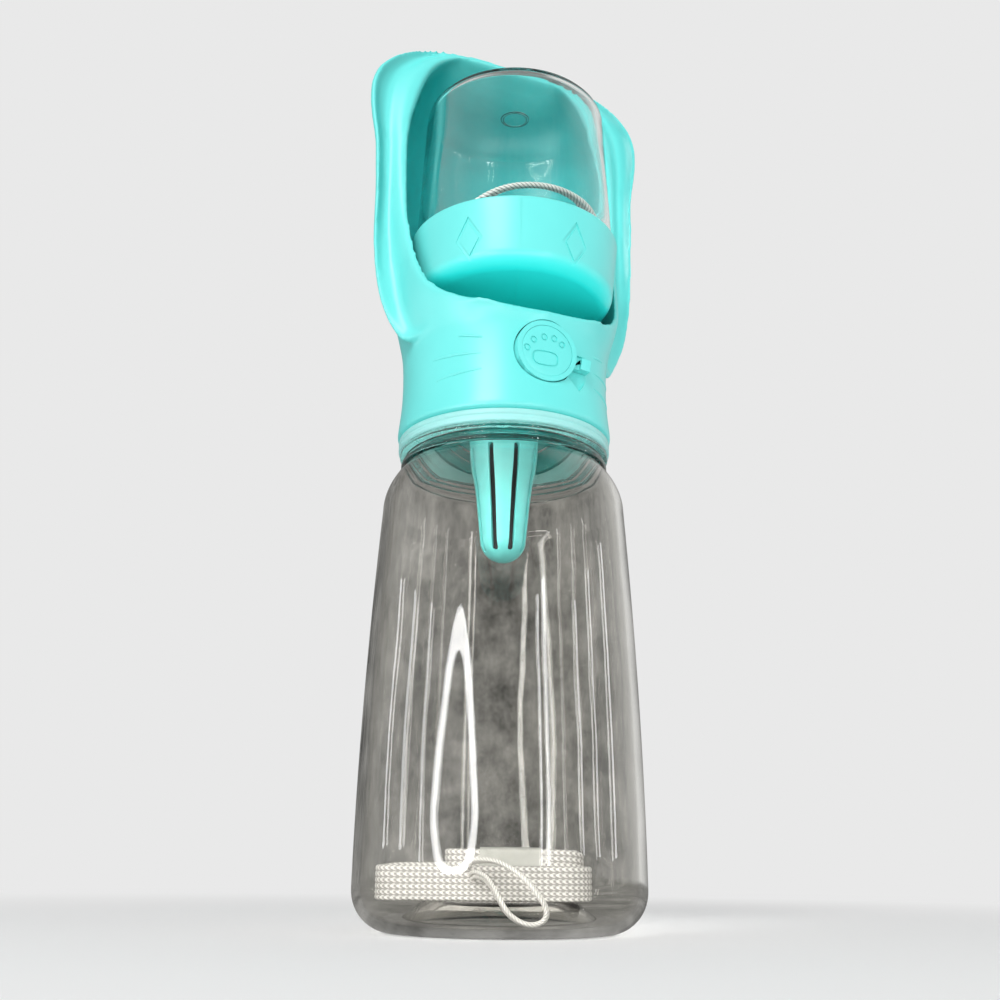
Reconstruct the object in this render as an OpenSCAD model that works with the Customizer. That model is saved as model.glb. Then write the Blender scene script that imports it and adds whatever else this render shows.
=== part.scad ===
// Travel water bottle for dogs: clear bottle, drinking head with a cat-eared bowl,
// and a food cup that is stored upside down in the bowl.
// Millimetres. Z up, the base stands on z = 0, the drinking side faces -Y.

/* [Bottle] */
// Diameter of the bottle near its foot
base_d = 75.2; // [70:0.2:90]
// Rounding between the foot ring and the wall
base_corner = 10.5; // [6:0.5:14]
// Width of the flat foot ring
foot_ring_w = 3; // [2:0.5:6]
// Height of the pushed-up centre of the base
punt_h = 5.6; // [3:0.2:9]
// Thickness of the bottle's wall
bottle_wall = 2; // [1.2:0.1:3]
// How much the radius shrinks from the foot to the shoulder
body_taper = 4; // [1:0.5:6]
// Height of the rounded shoulder
shoulder_h = 17; // [12:1:30]
// Height of the ledge that carries the neck seal
ledge_z = 127; // [110:1:160]
// Radius of the ledge
ledge_r = 29.5; // [29:0.1:30.5]
// Outer radius of the neck
neck_r = 26.4; // [25.4:0.1:26.8]
// Thickness of the neck
neck_wall = 1.8; // [1.2:0.1:2.4]
// Height of the neck above the ledge
neck_h = 7; // [6:0.2:8]

/* [Neck seal] */
// Height of the silicone ring
seal_h = 3.6; // [2.6:0.2:5]
// Outer radius of the silicone ring
seal_r = 30; // [29:0.1:31]
// Gap between the ring and the neck
seal_gap = 0.3; // [0.2:0.05:0.6]

/* [Head] */
// Outer radius of the skirt at its lower edge
skirt_r = 30.5; // [30:0.1:32]
// How far the skirt draws in at its waist
skirt_waist = 1.1; // [0:0.1:1.4]
// Height of the skirt, from its lower edge to the drinking lip
skirt_h = 28.3; // [28:0.1:34]
// Thickness of the bowl's wall
bowl_wall = 1.7; // [1.6:0.1:2.6]
// Thickness of the bowl's floor
floor_t = 2; // [1.6:0.1:2.6]
// Gap between the lid and the sides of the bowl
bowl_side_gap = 2.5; // [1.5:0.1:3]
// Height of the bowl above the stored cup
bowl_top_gap = 15.5; // [13:0.5:20]
// Half width of the ears
ear_x = 45; // [42:0.5:50]
// Height of the ear tips above the bowl's opening
ear_rise = 1.5; // [1:0.1:6]
// Thickness of the flared flange
flange_t = 2.2; // [1.8:0.1:3]
// Depth of the valley that runs round the flange
flange_valley = 1.7; // [0.6:0.1:2.4]

/* [Screw collar and valve] */
// Gap between the collar and the bottle's neck
collar_gap = 0.35; // [0.3:0.05:0.6]
// Gap between the collar and the head's skirt
shell_gap = 0.06; // [0.04:0.01:0.1]
// Thickness of the wall of the collar
collar_wall = 1.55; // [1.2:0.05:1.9]
// Thickness of the deck that closes the collar
deck_t = 2; // [1.6:0.1:2.4]
// Radius of the valve housing
valve_r = 6.3; // [6:0.1:6.6]
// Radius of the water ways
port_r = 2.2; // [1.5:0.1:2.6]
// Distance of the outlet behind the axis
outlet_y = 6; // [5:0.5:7]

/* [Button and lock] */
// Height of the button's centre above the skirt's lower edge
button_h = 17.4; // [17:0.1:18]
// Outer radius of the lock ring
ring_r = 8.75; // [8.4:0.05:9]
// Inner radius of the lock ring
ring_in_r = 7.4; // [7:0.05:7.6]
// Distance from the button's axis to the lever's tip
lever_r = 13.4; // [13:0.1:16]
// Width of the lever
lever_w = 3.4; // [2.4:0.1:4]
// Travel of the button
button_travel = 3.5; // [2:0.1:4]
// Radius of the button's guide
guide_r = 5.2; // [4.6:0.1:5.4]
// Running clearance of guides and seals in their bores
run_gap = 0.06; // [0.03:0.01:0.1]
// Gap between the moving parts of the lock
lock_gap = 0.3; // [0.25:0.05:0.4]

/* [Filter] */
// Radius of the filter basket below the socket
basket_r = 9.6; // [9:0.1:10.5]
// Radius of the filter basket's rounded tip
basket_tip_r = 6.4; // [5:0.1:8]
// Length of the filter basket below the deck
basket_h = 38.5; // [36:0.5:50]
// Thickness of the basket's wall
basket_wall = 1.4; // [1:0.1:2]
// Width of the slots
slot_w = 1.3; // [0.8:0.1:2]
// Number of slots
slot_n = 8; // [4:2:12]

/* [Food cup and lid] */
// Outer radius of the lid's rim
lid_r = 30.5; // [30:0.1:31.4]
// Height of the lid
lid_h = 20; // [18:0.5:24]
// Radius of the rounding round the lid's end face
lid_round = 6; // [2:0.2:6]
// How much the lid's band tapers towards the end face
lid_taper = 1.6; // [1:0.1:2]
// Thickness of the lid
lid_wall = 1.5; // [1.2:0.1:2]
// Height of the cup above the lid's rim
cup_h = 46; // [40:1:60]
// Outer radius of the cup's closed end
cup_end_r = 25.4; // [22:0.2:27]
// Thickness of the cup
cup_wall = 1.5; // [1.2:0.1:2]
// Gap between the cup's mouth and the lid
lid_gap = 0.3; // [0.25:0.05:0.5]
// Radius of the round gate mark on the cup's end
gate_r = 4.2; // [2:0.1:6]
// Distance of the cup's axis in front of the bottle's axis
cup_front = 6.5; // [6:0.1:7]
// Height of the lid's end face above the drinking lip
lid_lift = 11.5; // [9:0.5:14]

// Number of rhombus outlines round the lid
rhombus_n = 6; // [3:1:8]
// Height of a rhombus
rhombus_h = 12; // [8:0.5:13]
// Width of a rhombus
rhombus_w = 7; // [5:0.5:10]
// Width of the engraved line
line_w = 1; // [0.6:0.1:1.6]
// Depth of the engraved line
line_depth = 0.7; // [0.5:0.1:0.9]

/* [Cords] */
// Width of the flat wrist strap
strap_w = 8.6; // [7:0.2:10]
// Thickness of the strap
strap_t = 1.2; // [0.8:0.1:1.4]
// Turns of the folded strap
strap_turns = 2.25; // [1.5:0.25:2.25]
// Distance between neighbouring turns
strap_pitch = 1.9; // [1.8:0.1:2.2]
// Diameter of the thin cords
cord_d = 1.5; // [1.2:0.1:2]

/* [Hidden] */
$fn = 96;
teal = [0.46, 0.94, 0.93];
deep_teal = [0.2, 0.72, 0.72];
clear = [0.62, 0.62, 0.6, 0.35];
milky = [0.8, 0.92, 0.92];
cord_grey = [0.82, 0.81, 0.79];

// Heights of the main seats
base_r = base_d / 2;
foot_r = base_r - base_corner;
shoulder_z = ledge_z - shoulder_h;
shoulder_r = base_r - body_taper;
neck_top = ledge_z + neck_h;
neck_in_r = neck_r - neck_wall;
floor_z = punt_h + bottle_wall;
skirt_z = ledge_z + seal_h;
deck_under = neck_top + 0.6;
deck_top = deck_under + deck_t;
collar_r = neck_r + collar_gap + collar_wall;
button_z = skirt_z + button_h;
lip_z = skirt_z + skirt_h;
bowl_z = lip_z - 0.7;
lid_z = lip_z + lid_lift;
rim_z = lid_z + lid_h;
cup_top = rim_z + cup_h;
cup_y = -cup_front;
bowl_w = lid_r + bowl_side_gap;
bowl_d = lid_r - cup_front + bowl_side_gap;
bowl_top = cup_top + bowl_top_gap;
skirt_in_r = collar_r;

// Distances of the lock and the button from the bottle's axis
ring_front = skirt_r - 0.5;
ring_back = 24;
button_front = ring_front - 0.4;
button_t = 2.2;
guide_back = 19;

function lerp(a, b, t) = a + (b - a) * t;
function unit(v) = v / norm(v);
function spline(a, b, c, d, t) =
    0.5 * (2 * b + (c - a) * t + (2 * a - 5 * b + 4 * c - d) * t * t
    + (3 * b - a - 3 * c + d) * t * t * t);
function smooth(p, n) = concat(
    [for (i = [0:len(p) - 2], k = [0:n - 1])
        spline(p[max(i - 1, 0)], p[i], p[i + 1], p[min(i + 2, len(p) - 1)], k / n)],
    [p[len(p) - 1]]);
function arc(cx, cy, r, a0, a1, n) =
    [for (k = [0:n]) [cx + r * cos(lerp(a0, a1, k / n)), cy + r * sin(lerp(a0, a1, k / n))]];

// ---- Bottle ----

function body_r(z) = base_r - body_taper * pow(max(0, (z - base_corner) / (shoulder_z - base_corner)), 1.8);
function side(inset) = [for (k = [1:8]) let (z = lerp(base_corner, shoulder_z, k / 8)) [body_r(z) - inset, z]];
function shoulder(r0, z0, r1, z1) = [for (k = [1:5]) [r0 - (r0 - r1) * pow(k / 5, 2), lerp(z0, z1, k / 5)]];

module bottle_body() {
    corner = base_corner - bottle_wall;
    punt_r = foot_r - foot_ring_w;
    outside = concat(
        [[0, punt_h], [punt_r - punt_h, punt_h], [punt_r, 0], [foot_r, 0]],
        arc(foot_r, base_corner, base_corner, -75, 0, 5),
        side(0),
        shoulder(shoulder_r, shoulder_z, ledge_r, ledge_z),
        [[neck_r, ledge_z], [neck_r, neck_top]]);
    inside = concat(
        [[neck_in_r, neck_top], [neck_in_r, ledge_z - 1.5]],
        reverse(shoulder(shoulder_r - bottle_wall, shoulder_z, neck_in_r + 0.8, ledge_z - 3)),
        reverse(side(bottle_wall)),
        reverse(arc(foot_r, base_corner, corner, -75, 0, 5)),
        [[foot_r, bottle_wall], [punt_r + 1, bottle_wall], [punt_r + 1 - punt_h, floor_z], [0, floor_z]]);
    color(clear) rotate_extrude() polygon(concat(outside, inside));
}

function reverse(p) = [for (i = [len(p) - 1:-1:0]) p[i]];

// ---- Wrist strap, folded on edge on the bottle's floor ----

strap_steps = 20;
strap_side = -22.5;
strap_half = 3.2;
strap_k = foot_r / 27.1;
strap_right = 15.8 * strap_k;
strap_left = -9.5 * strap_k;
strap_grow = 15.4 * strap_k;
strap_rise = 4;
strap_y = -4;
function smooth_step(x) = let (c = min(1, max(0, x))) c * c * (3 - 2 * c);
// Plan and height of the strap's middle line after t turns: the inner turns lie a little higher
function strap_at(t) = let (h = strap_half + strap_pitch * t,
    middle = cos(360 * t) > -0.01 ? strap_right : strap_left - strap_grow * floor(t)) [
    middle + h * cos(360 * t), strap_y + h * sin(360 * t),
    floor_z + strap_rise * (1 - smooth_step((t - 0.75) / 0.75))];
strap_points = [for (k = [0:strap_turns * strap_steps]) strap_at(k / strap_steps)];
function flat(p) = [p[0], p[1]];
function to_line(p, a, b) = let (d = b - a, t = min(1, max(0, (p - a) * d / (d * d)))) norm(p - a - t * d);
strap_gap = min([for (i = [0:len(strap_points) - 1], j = [0:len(strap_points) - 2])
    if (abs(j - i) > strap_steps / 2) to_line(flat(strap_points[i]), flat(strap_points[j]), flat(strap_points[j + 1]))]) - strap_t;
echo(least_gap_of_strap = strap_gap);

// A ribbon standing on edge along a route
module ribbon(points, thick, high) {
    n = len(points);
    corners = [for (i = [0:n - 1])
        let (d = unit(flat(points[min(i + 1, n - 1)] - points[max(i - 1, 0)])), side = [-d[1], d[0], 0] * thick / 2)
        each [points[i] - side, points[i] + side, points[i] + side + [0, 0, high], points[i] - side + [0, 0, high]]];
    walls = [for (i = [0:n - 2], j = [0:3], h = [0, 1]) let (a = 4 * i + j, b = 4 * i + (j + 1) % 4)
        h == 0 ? [a, a + 4, b] : [b, a + 4, b + 4]];
    polyhedron(corners, concat(walls, [[0, 1, 2], [0, 2, 3]], [[4 * n - 4, 4 * n - 2, 4 * n - 3], [4 * n - 4, 4 * n - 1, 4 * n - 2]]));
}

module wrist_strap() {
    color(cord_grey) rotate(strap_side) ribbon(strap_points, strap_t, strap_w);
}

// A clear tape holds the two runs of the innermost turn together
band_w = 15;
band_t = 0.3;
band_x = -5;
band_gap = 0.12;
module strap_band() {
    back = strap_half + 0.25 * strap_pitch + strap_t / 2 + band_gap;
    front = strap_half + 0.75 * strap_pitch + strap_t / 2 + band_gap;
    high = strap_w + 2 * band_gap;
    color(milky) rotate(strap_side) translate([band_x, strap_y, floor_z + strap_rise - band_gap]) difference() {
        translate([0, -front - band_t, -band_t]) cube([band_w, front + back + 2 * band_t, high + 2 * band_t]);
        translate([-1, -front, 0]) cube([band_w + 2, front + back, high]);
    }
}

// ---- Tubes for the thin cords ----

function ring_frame(d) = let (s = unit(abs(d[2]) > 0.9 ? cross(d, [1, 0, 0]) : cross(d, [0, 0, 1]))) [s, cross(s, d)];
module tube(points, d, sides) {
    n = len(points);
    dirs = [for (i = [0:n - 1]) unit(points[min(i + 1, n - 1)] - points[max(i - 1, 0)])];
    rings = [for (i = [0:n - 1], j = [0:sides - 1])
        let (f = ring_frame(dirs[i]), a = 360 * j / sides)
        points[i] + d / 2 * (cos(a) * f[0] + sin(a) * f[1])];
    walls = [for (i = [0:n - 2], j = [0:sides - 1], h = [0, 1])
        let (a = i * sides + j, b = i * sides + (j + 1) % sides)
        h == 0 ? [a, b, a + sides] : [b, b + sides, a + sides]];
    ends = concat(
        [for (j = [1:sides - 2]) [0, j + 1, j]],
        [for (j = [1:sides - 2]) [(n - 1) * sides, (n - 1) * sides + j, (n - 1) * sides + j + 1]]);
    polyhedron(concat(rings), concat(walls, ends));
}

strap_cord_route = [[-7.5, -9.2, 15.2], [-7.5, -13.5, 17], [-1, -19, 17.2], [5, -23.5, 14], [9.5, -26.2, 9],
    [11, -26.6, 5.6], [9.5, -26.6, 3.6], [6, -27, 3.2], [2, -26.6, 5.5], [-0.5, -25, 9.5], [-3, -20, 13], [-6, -14, 14.2], [-7.5, -9.2, 13]];
module strap_cord() {
    route = [for (p = strap_cord_route) [strap_k * p[0], strap_k * p[1], p[2] + bottle_wall - 2]];
    color(cord_grey) rotate(strap_side) tube(smooth(route, 3), cord_d, 8);
}

// ---- Neck seal ----

module neck_seal() {
    color(milky) translate([0, 0, ledge_z]) rotate_extrude() polygon([
        [neck_r + seal_gap, 0], [seal_r - 0.5, 0], [seal_r, 0.8], [seal_r, seal_h - 0.8],
        [seal_r - 0.5, seal_h], [neck_r + seal_gap, seal_h]]);
}

// ---- Head: skirt, bowl and ears ----

// The bowl's hollow by height: low down its width grows from the skirt's to the bowl's own, above
// that it is a share of the bowl's. The last value is a share of its depth
low_w = skirt_r - skirt_waist - bowl_wall;
bowl_low = [[0, -0.36, 0.8], [0.012, 0, 0.9], [0.04, 0.3, 0.955], [0.09, 0.66, 0.985], [0.17, 0.906, 1]];
bowl_high = [[0.31, 1, 1], [0.45, 1, 1], [0.62, 1, 1], [0.73, 0.965, 0.97], [0.81, 0.905, 0.91],
    [0.89, 0.83, 0.8], [0.945, 0.735, 0.61], [0.985, 0.6, 0.38], [1, 0.5, 0.2]];
hollow = concat(
    [for (s = bowl_low) [lerp(bowl_z, bowl_top, s[0]), lerp(low_w, bowl_w, s[1]), bowl_d * s[2]]],
    [for (s = bowl_high) [lerp(bowl_z, bowl_top, s[0]), bowl_w * s[1], bowl_d * s[2]]]);
skirt_shape = [[0, 0], [0.06, 0.1], [0.35, 0.85], [0.6, 1], [0.82, 0.75], [0.97, 0.2]];
outside_low = [for (s = skirt_shape) let (r = skirt_r - skirt_waist * s[1])
    [skirt_z + skirt_h * s[0], r, s[0] > 0.5 ? skirt_r - skirt_waist : r]];
outside_high = [for (i = [3:len(hollow) - 1]) hollow[i] + [i > 10 ? bowl_wall * 0.9 : 0, bowl_wall, bowl_wall]];
outside = concat(outside_low, outside_high);

// A horizontal slice: round in front, and as deep as the bowl at the back
function slice_points(w, back, n) = [for (k = [0:n - 1]) let (a = 360 * k / n)
    [w * cos(a), (sin(a) > 0 ? back : w) * sin(a)]];
module loft(rows, n) {
    last = (len(rows) - 1) * n;
    points = [for (r = rows, p = slice_points(r[1], r[2], n)) [p[0], p[1], r[0]]];
    walls = [for (i = [0:len(rows) - 2], j = [0:n - 1], h = [0, 1])
        let (a = i * n + j, b = i * n + (j + 1) % n)
        h == 0 ? [a, a + n, b] : [b, a + n, b + n]];
    ends = concat([[for (j = [0:n - 1]) j]], [[for (j = [n - 1:-1:0]) last + j]]);
    polyhedron(points, concat(walls, ends));
}

// The opening's rim: inner edge and outer edge of the flange, from the lip up to the crown
rim_stations = [
    [[0, -28.6, 0.9], [0, -30.9, 0.2]],
    [[10, -27, 2.1], [11.2, -29, 1.2]],
    [[18.6, -22.5, 4.8], [21, -23.8, 3]],
    [[25.9, -16.7, 9.2], [30.2, -6, -3]],
    [[29.8, -11.7, 16.5], [34.4, -2, 0]],
    [[31.6, -7.5, 27], [39.4, -1.2, 10.5]],
    [[32.3, -4.5, 38], [41.8, -1.5, 25.5]],
    [[32.6, -3, 50], [42.2, -2.5, 43]],
    [[32.5, -2.4, 60], [42.8, -2.2, 58]],
    [[31.6, -2, 69], [44.2, -2, 70]],
    [[29.6, -2, 77], [45, -2, 80]],
    [[27.3, -2, 83], [44.6, -2, 87]],
    [[25, -2, 87], [41.8, -2, 92]],
    [[22, -2, 90], [37, -2, 94.4]],
    [[18, -2, 92], [30, -2, 95]],
    [[13, -2, 93], [21, -2, 94.8]],
    [[6.5, -2, 93.4], [10, -2, 94.6]],
    [[0, -2, 93.5], [0, -2, 94.5]]];
rim_kx = bowl_w / 32.7;
rim_kz = (bowl_top + 1 - lip_z) / 93.5;
ear_k = ear_x / 45;
function rim_in(s) = [s[0][0] * rim_kx, s[0][1], lip_z + s[0][2] * rim_kz];
function rim_out(s) = [
    s[1][0] * lerp(rim_kx, ear_k, min(1, s[1][0] / 45)), s[1][1],
    lip_z + s[1][2] * rim_kz + (s[1][0] > 20 ? (ear_rise - 1.5) * max(0, min(1, (s[1][2] - 80) / 10)) : 0)];
half_in = smooth([for (s = rim_stations) rim_in(s)], 2);
half_out = smooth([for (s = rim_stations) rim_out(s)], 2);
function both(p) = concat(p, [for (i = [len(p) - 2:-1:1]) [-p[i][0], p[i][1], p[i][2]]]);
loop_in = both(half_in);
loop_out = both(half_out);

// Section of the flange: share of its width, and height above it where it is at its widest
flange_front = [[-0.02, -0.3], [0.06, 0.8], [0.16, 1], [0.34, 0.1], [0.55, -flange_valley], [0.8, -0.5 * flange_valley],
    [0.94, 0.9], [1, 0.5]];
flange_back = [[1, -0.8], [0.9, -flange_t + 0.3], [0.55, -flange_valley - flange_t], [0.2, -flange_t - 0.6], [-0.02, -flange_t]];
module flange() {
    prof = concat(flange_front, flange_back);
    m = len(prof);
    n = len(loop_in);
    pts = [for (i = [0:n - 1], j = [0:m - 1]) let (
        e = loop_out[i] - loop_in[i],
        t = loop_in[(i + 1) % n] + loop_out[(i + 1) % n] - loop_in[(i + n - 1) % n] - loop_out[(i + n - 1) % n],
        out = unit(cross(e, t)),
        k = min(1, norm(e) / 9))
        loop_in[i] + e * prof[j][0] + out * prof[j][1] * k];
    faces = [for (i = [0:n - 1], j = [0:m - 1], h = [0, 1]) let (
        a = i * m + j, b = i * m + (j + 1) % m,
        c = ((i + 1) % n) * m + (j + 1) % m, d = ((i + 1) % n) * m + j)
        h == 0 ? [a, c, b] : [a, d, c]];
    polyhedron(pts, faces);
}

// Three raised whiskers on each cheek: height above the skirt's edge, and angle from the face
whisker_rows = [
    [[20.7, 34], [21.4, 41], [21.9, 48]],
    [[16.1, 34], [16.5, 50], [16.6, 65]],
    [[11.5, 34], [10.9, 48], [9.9, 62]]];
whisker_r = 0.5;
function skirt_radius(z) = skirt_r - skirt_waist * lookup(z / skirt_h, skirt_shape);
module whiskers() {
    for (side = [-1, 1], row = whisker_rows, i = [0, 1]) hull() for (p = [row[i], row[i + 1]])
        rotate(side * p[1]) translate([0, 0.1 - skirt_radius(p[0]), skirt_z + p[0]]) sphere(r = whisker_r, $fn = 6);
}

// Everything in front of the rim is cut away
module rim_cut() {
    line = [for (p = half_in) [p[1] + 0.5, p[2] - 0.15]];
    rotate([90, 0, 90]) linear_extrude(4 * bowl_w, center = true)
        polygon(concat([[-2 * bowl_w, line[0][1]]], line, [[line[len(line) - 1][0], bowl_top + 30], [-2 * bowl_w, bowl_top + 30]]));
}

// Places a part on the button's axis, with local Z pointing to the front
module on_button() {
    translate([0, 0, button_z]) rotate([90, 0, 0]) children();
}
pocket_floor = 26.4;
lever_angle = -9;
lock_swing = 20;

module head_shell() {
    inner_r = skirt_in_r - 1.4;
    color(teal) difference() {
        union() {
            difference() {
                loft(outside, 48);
                rim_cut();
            }
            flange();
            whiskers();
        }
        loft(hollow, 44);
        translate([0, 0, skirt_z - 1]) cylinder(h = deck_top - skirt_z + 1, r = skirt_in_r + shell_gap);
        cylinder(h = bowl_z - floor_t, r = inner_r);
        translate([0, outlet_y, bowl_z - floor_t - 1]) cylinder(h = floor_t + 3, r = port_r, $fn = 24);
        on_button() cylinder(h = 2 * skirt_r, r = ring_r + lock_gap, $fn = 64);
        on_button() translate([0, 0, pocket_floor]) linear_extrude(skirt_r) pocket_outline();
    }
}

// The slot in which the lever swings
module pocket_outline() {
    from = lever_angle + 16;
    to = lever_angle - lock_swing - 13;
    polygon(concat(arc(0, 0, ring_r - 0.5, from, to, 8), arc(0, 0, lever_r + 0.6, to, from, 10)));
}

// ---- Screw collar with the deck ----

socket_r = basket_r + 1.7;
module screw_collar() {
    color(deep_teal) difference() {
        rotate_extrude() polygon([
            [0, deck_under], [basket_r + 0.3 + lug_out + 0.3, deck_under],
            [basket_r + 0.3 + lug_out + 0.3, deck_under - socket_h + 1.2], [basket_r + 0.3, deck_under - socket_h + 1.2],
            [basket_r + 0.3, deck_under - socket_h], [socket_out_r, deck_under - socket_h],
            [socket_out_r, deck_under], [neck_r + collar_gap, deck_under],
            [neck_r + collar_gap, skirt_z + 0.4], [collar_r, skirt_z + 0.4], [collar_r, deck_top], [0, deck_top]]);
        translate([0, -port_y, deck_under - 1]) cylinder(h = deck_t + 2, r = port_r, $fn = 48);
        for (a = [lug_turn, lug_turn + 180]) rotate(a)
            translate([basket_r - 1, -lug_w / 2 - 0.4, deck_under - socket_h - 1]) cube([lug_out + 1.6, lug_w + 0.8, 2.4]);
    }
}

// ---- Valve ----

lug_out = 1.1;
lug_w = 5;
lug_turn = 45;
socket_h = 5;
socket_out_r = basket_r + lug_out + 2;
port_y = 5;
valve_front = button_front - button_t - button_travel - 0.7;
valve_back = 12;
guide_floor = guide_back - button_travel - 1.5;
chamber_front = 8;
chamber_r = 4;
rod_r = 2;
gasket_h = 1.2;
valve_seat = 1.6;

module valve_body() {
    color(deep_teal) difference() {
        union() {
            translate([0, valve_back, button_z]) rotate([90, 0, 0]) cylinder(h = valve_back + valve_front, r = valve_r);
            translate([0, -port_y, deck_top]) cylinder(h = button_z - deck_top, r = port_r + 2);
            translate([0, outlet_y, button_z]) cylinder(h = bowl_z - floor_t - gasket_h - button_z, r = port_r + 2);
        }
        on_button() translate([0, 0, guide_floor]) cylinder(h = valve_front, r = guide_r + run_gap);
        on_button() translate([0, 0, -2]) cylinder(h = valve_front, r = rod_r + run_gap);
        on_button() translate([0, 0, -valve_seat]) cylinder(h = chamber_front + valve_seat, r = chamber_r);
        on_button() translate([0, 0, -valve_back + 1.5]) cylinder(h = valve_back - 1.5 - valve_seat, r = chamber_r + 0.7);
        translate([0, -port_y, deck_top - 1]) cylinder(h = button_z - deck_top + 1, r = port_r, $fn = 48);
        translate([0, outlet_y, button_z]) cylinder(h = bowl_z - button_z, r = port_r, $fn = 48);
    }
}

module valve_gasket() {
    color("dimgray") translate([0, outlet_y, bowl_z - floor_t - gasket_h]) difference() {
        cylinder(h = gasket_h, r = port_r + 2);
        translate([0, 0, -1]) cylinder(h = gasket_h + 2, r = port_r + 0.3);
    }
}

// ---- Button, plunger and lock ----

head_back = 1;
paw_depth = 0.5;
toe_ring = 4.7;
toe_r = 0.9;
module paw_button() {
    color(teal) on_button() difference() {
        union() {
            translate([0, 0, button_front - button_t]) cylinder(h = button_t, r = ring_in_r - lock_gap);
            translate([0, 0, guide_back]) cylinder(h = button_front - button_t - guide_back, r = guide_r);
        }
        translate([0, 0, button_front - paw_depth]) {
            for (a = [-2:2]) rotate(-36 * a) translate([0, toe_ring, 0]) cylinder(h = 1, r = toe_r, $fn = 24);
            translate([0, -1.6, 0]) linear_extrude(1) difference() {
                pad(1);
                pad(0.72);
            }
        }
    }
}

// The paw's pad: a rounded bar
module pad(k) {
    polygon([for (a = [0:15:345]) [
        3.3 * k * sign(cos(a)) * pow(abs(cos(a)), 0.7), 2.1 * k * sign(sin(a)) * pow(abs(sin(a)), 0.7)]]);
}

seal_w = 1.2;
module valve_plunger() {
    color("whitesmoke") on_button() difference() {
        union() {
            translate([0, 0, -head_back - 2]) cylinder(h = guide_back + head_back + 2, r = rod_r);
            translate([0, 0, -head_back]) cylinder(h = 4.4, r = chamber_r - 0.3);
        }
        for (s = [0.4, 2.8]) translate([0, 0, s - head_back]) difference() {
            cylinder(h = seal_w, r = chamber_r + 1);
            translate([0, 0, -1]) cylinder(h = seal_w + 2, r = chamber_r - 1.1);
        }
    }
}

module plunger_seals() {
    color("dimgray") on_button() for (s = [0.4, 2.8]) translate([0, 0, s - head_back]) difference() {
        cylinder(h = seal_w, r = chamber_r - run_gap);
        translate([0, 0, -1]) cylinder(h = seal_w + 2, r = chamber_r - 1.1);
    }
}

module plunger_clip() {
    color("silver") on_button() translate([0, 0, -head_back - 0.8]) difference() {
        cylinder(h = 0.8, r = rod_r + 1.1);
        translate([0, 0, -1]) cylinder(h = 3, r = rod_r);
    }
}

module plunger_spring() {
    color("silver") on_button() translate([0, 0, guide_floor]) difference() {
        cylinder(h = guide_back - guide_floor, r = guide_r - 0.6);
        translate([0, 0, -1]) cylinder(h = guide_back, r = guide_r - 1.4);
    }
}

module lock_ring() {
    color(teal) on_button() difference() {
        union() {
            translate([0, 0, ring_back]) cylinder(h = ring_front - ring_back, r = ring_r);
            rotate(lever_angle) translate([ring_in_r + 0.6, -lever_w / 2, pocket_floor + lock_gap])
                cube([lever_r - ring_in_r - 0.6, lever_w, 1.6]);
            rotate(lever_angle) translate([lever_r - 2.8, -lever_w / 2, pocket_floor + lock_gap]) cube([2.8, lever_w, 2.6]);
            for (s = [-1, 1]) translate([s * (ring_r + 0.2), 0, ring_back - 0.1]) cube([2.4, 4, 1.2], center = true);
        }
        cylinder(h = 2 * skirt_r, r = ring_in_r);
    }
}

// ---- Filter ----

basket_top = deck_under - 0.3;
basket_end = deck_under - basket_h;
module filter_basket() {
    in_r = basket_r - basket_wall;
    tip = basket_tip_r;
    color(teal) difference() {
        union() {
            rotate_extrude() polygon(concat(
                [[in_r, basket_top], [in_r, deck_under - 12], [tip - basket_wall, basket_end + tip],
                    [tip - basket_wall, core_z], [0, core_z], [0, basket_end]],
                arc(0, basket_end + tip, tip, -80, 0, 6),
                [[basket_r - 1.6, basket_end + 22], [basket_r, deck_under - 10], [basket_r, basket_top]]));
            for (a = [0, 180]) rotate(a) translate([basket_r - 1, -lug_w / 2, basket_top - 2.8]) cube([1 + lug_out, lug_w, 2.8]);
        }
        for (i = [0:slot_n - 1]) rotate(360 * (i + 0.5) / slot_n)
            translate([tip - basket_wall - 1.4, -slot_w / 2, basket_end + 4.5]) cube([basket_r, slot_w, basket_h - 16]);
    }
}
core_z = basket_end + 3;
module filter_core() {
    color([0.25, 0.25, 0.25]) translate([0, 0, core_z]) cylinder(h = basket_top - core_z - 4, r = basket_tip_r - basket_wall - 0.4);
}

// ---- Food cup, stored upside down, and its lid ----

mouth_r = lid_r - 1.3 - lid_wall - lid_gap;
mouth_z = lid_z + 5.5;
cup_round = 6;
module food_cup() {
    shell = concat(
        [[0, cup_top]], reverse(arc(cup_end_r - cup_round, cup_top - cup_round, cup_round, 0, 90, 6)),
        [[lerp(cup_end_r, lid_r - 1.5, 0.55), rim_z + 22], [lid_r - 1.5, rim_z + 2.5], [lid_r - 1.5, rim_z + lid_gap],
            [mouth_r, rim_z + lid_gap], [mouth_r, mouth_z]]);
    void = concat(
        [[mouth_r - cup_wall, mouth_z], [mouth_r - cup_wall, rim_z], [lerp(cup_end_r, lid_r - 1.5, 0.55) - cup_wall, rim_z + 22]],
        arc(cup_end_r - cup_round, cup_top - cup_round, cup_round - cup_wall, 0, 90, 6),
        [[0, cup_top - cup_wall]]);
    color([0.85, 0.93, 0.93, 0.3]) translate([0, cup_y, 0]) difference() {
        rotate_extrude() polygon(concat(shell, void));
        translate([0, 0, cup_top - 0.6]) cylinder(h = 2, r = gate_r);
    }
}

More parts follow.
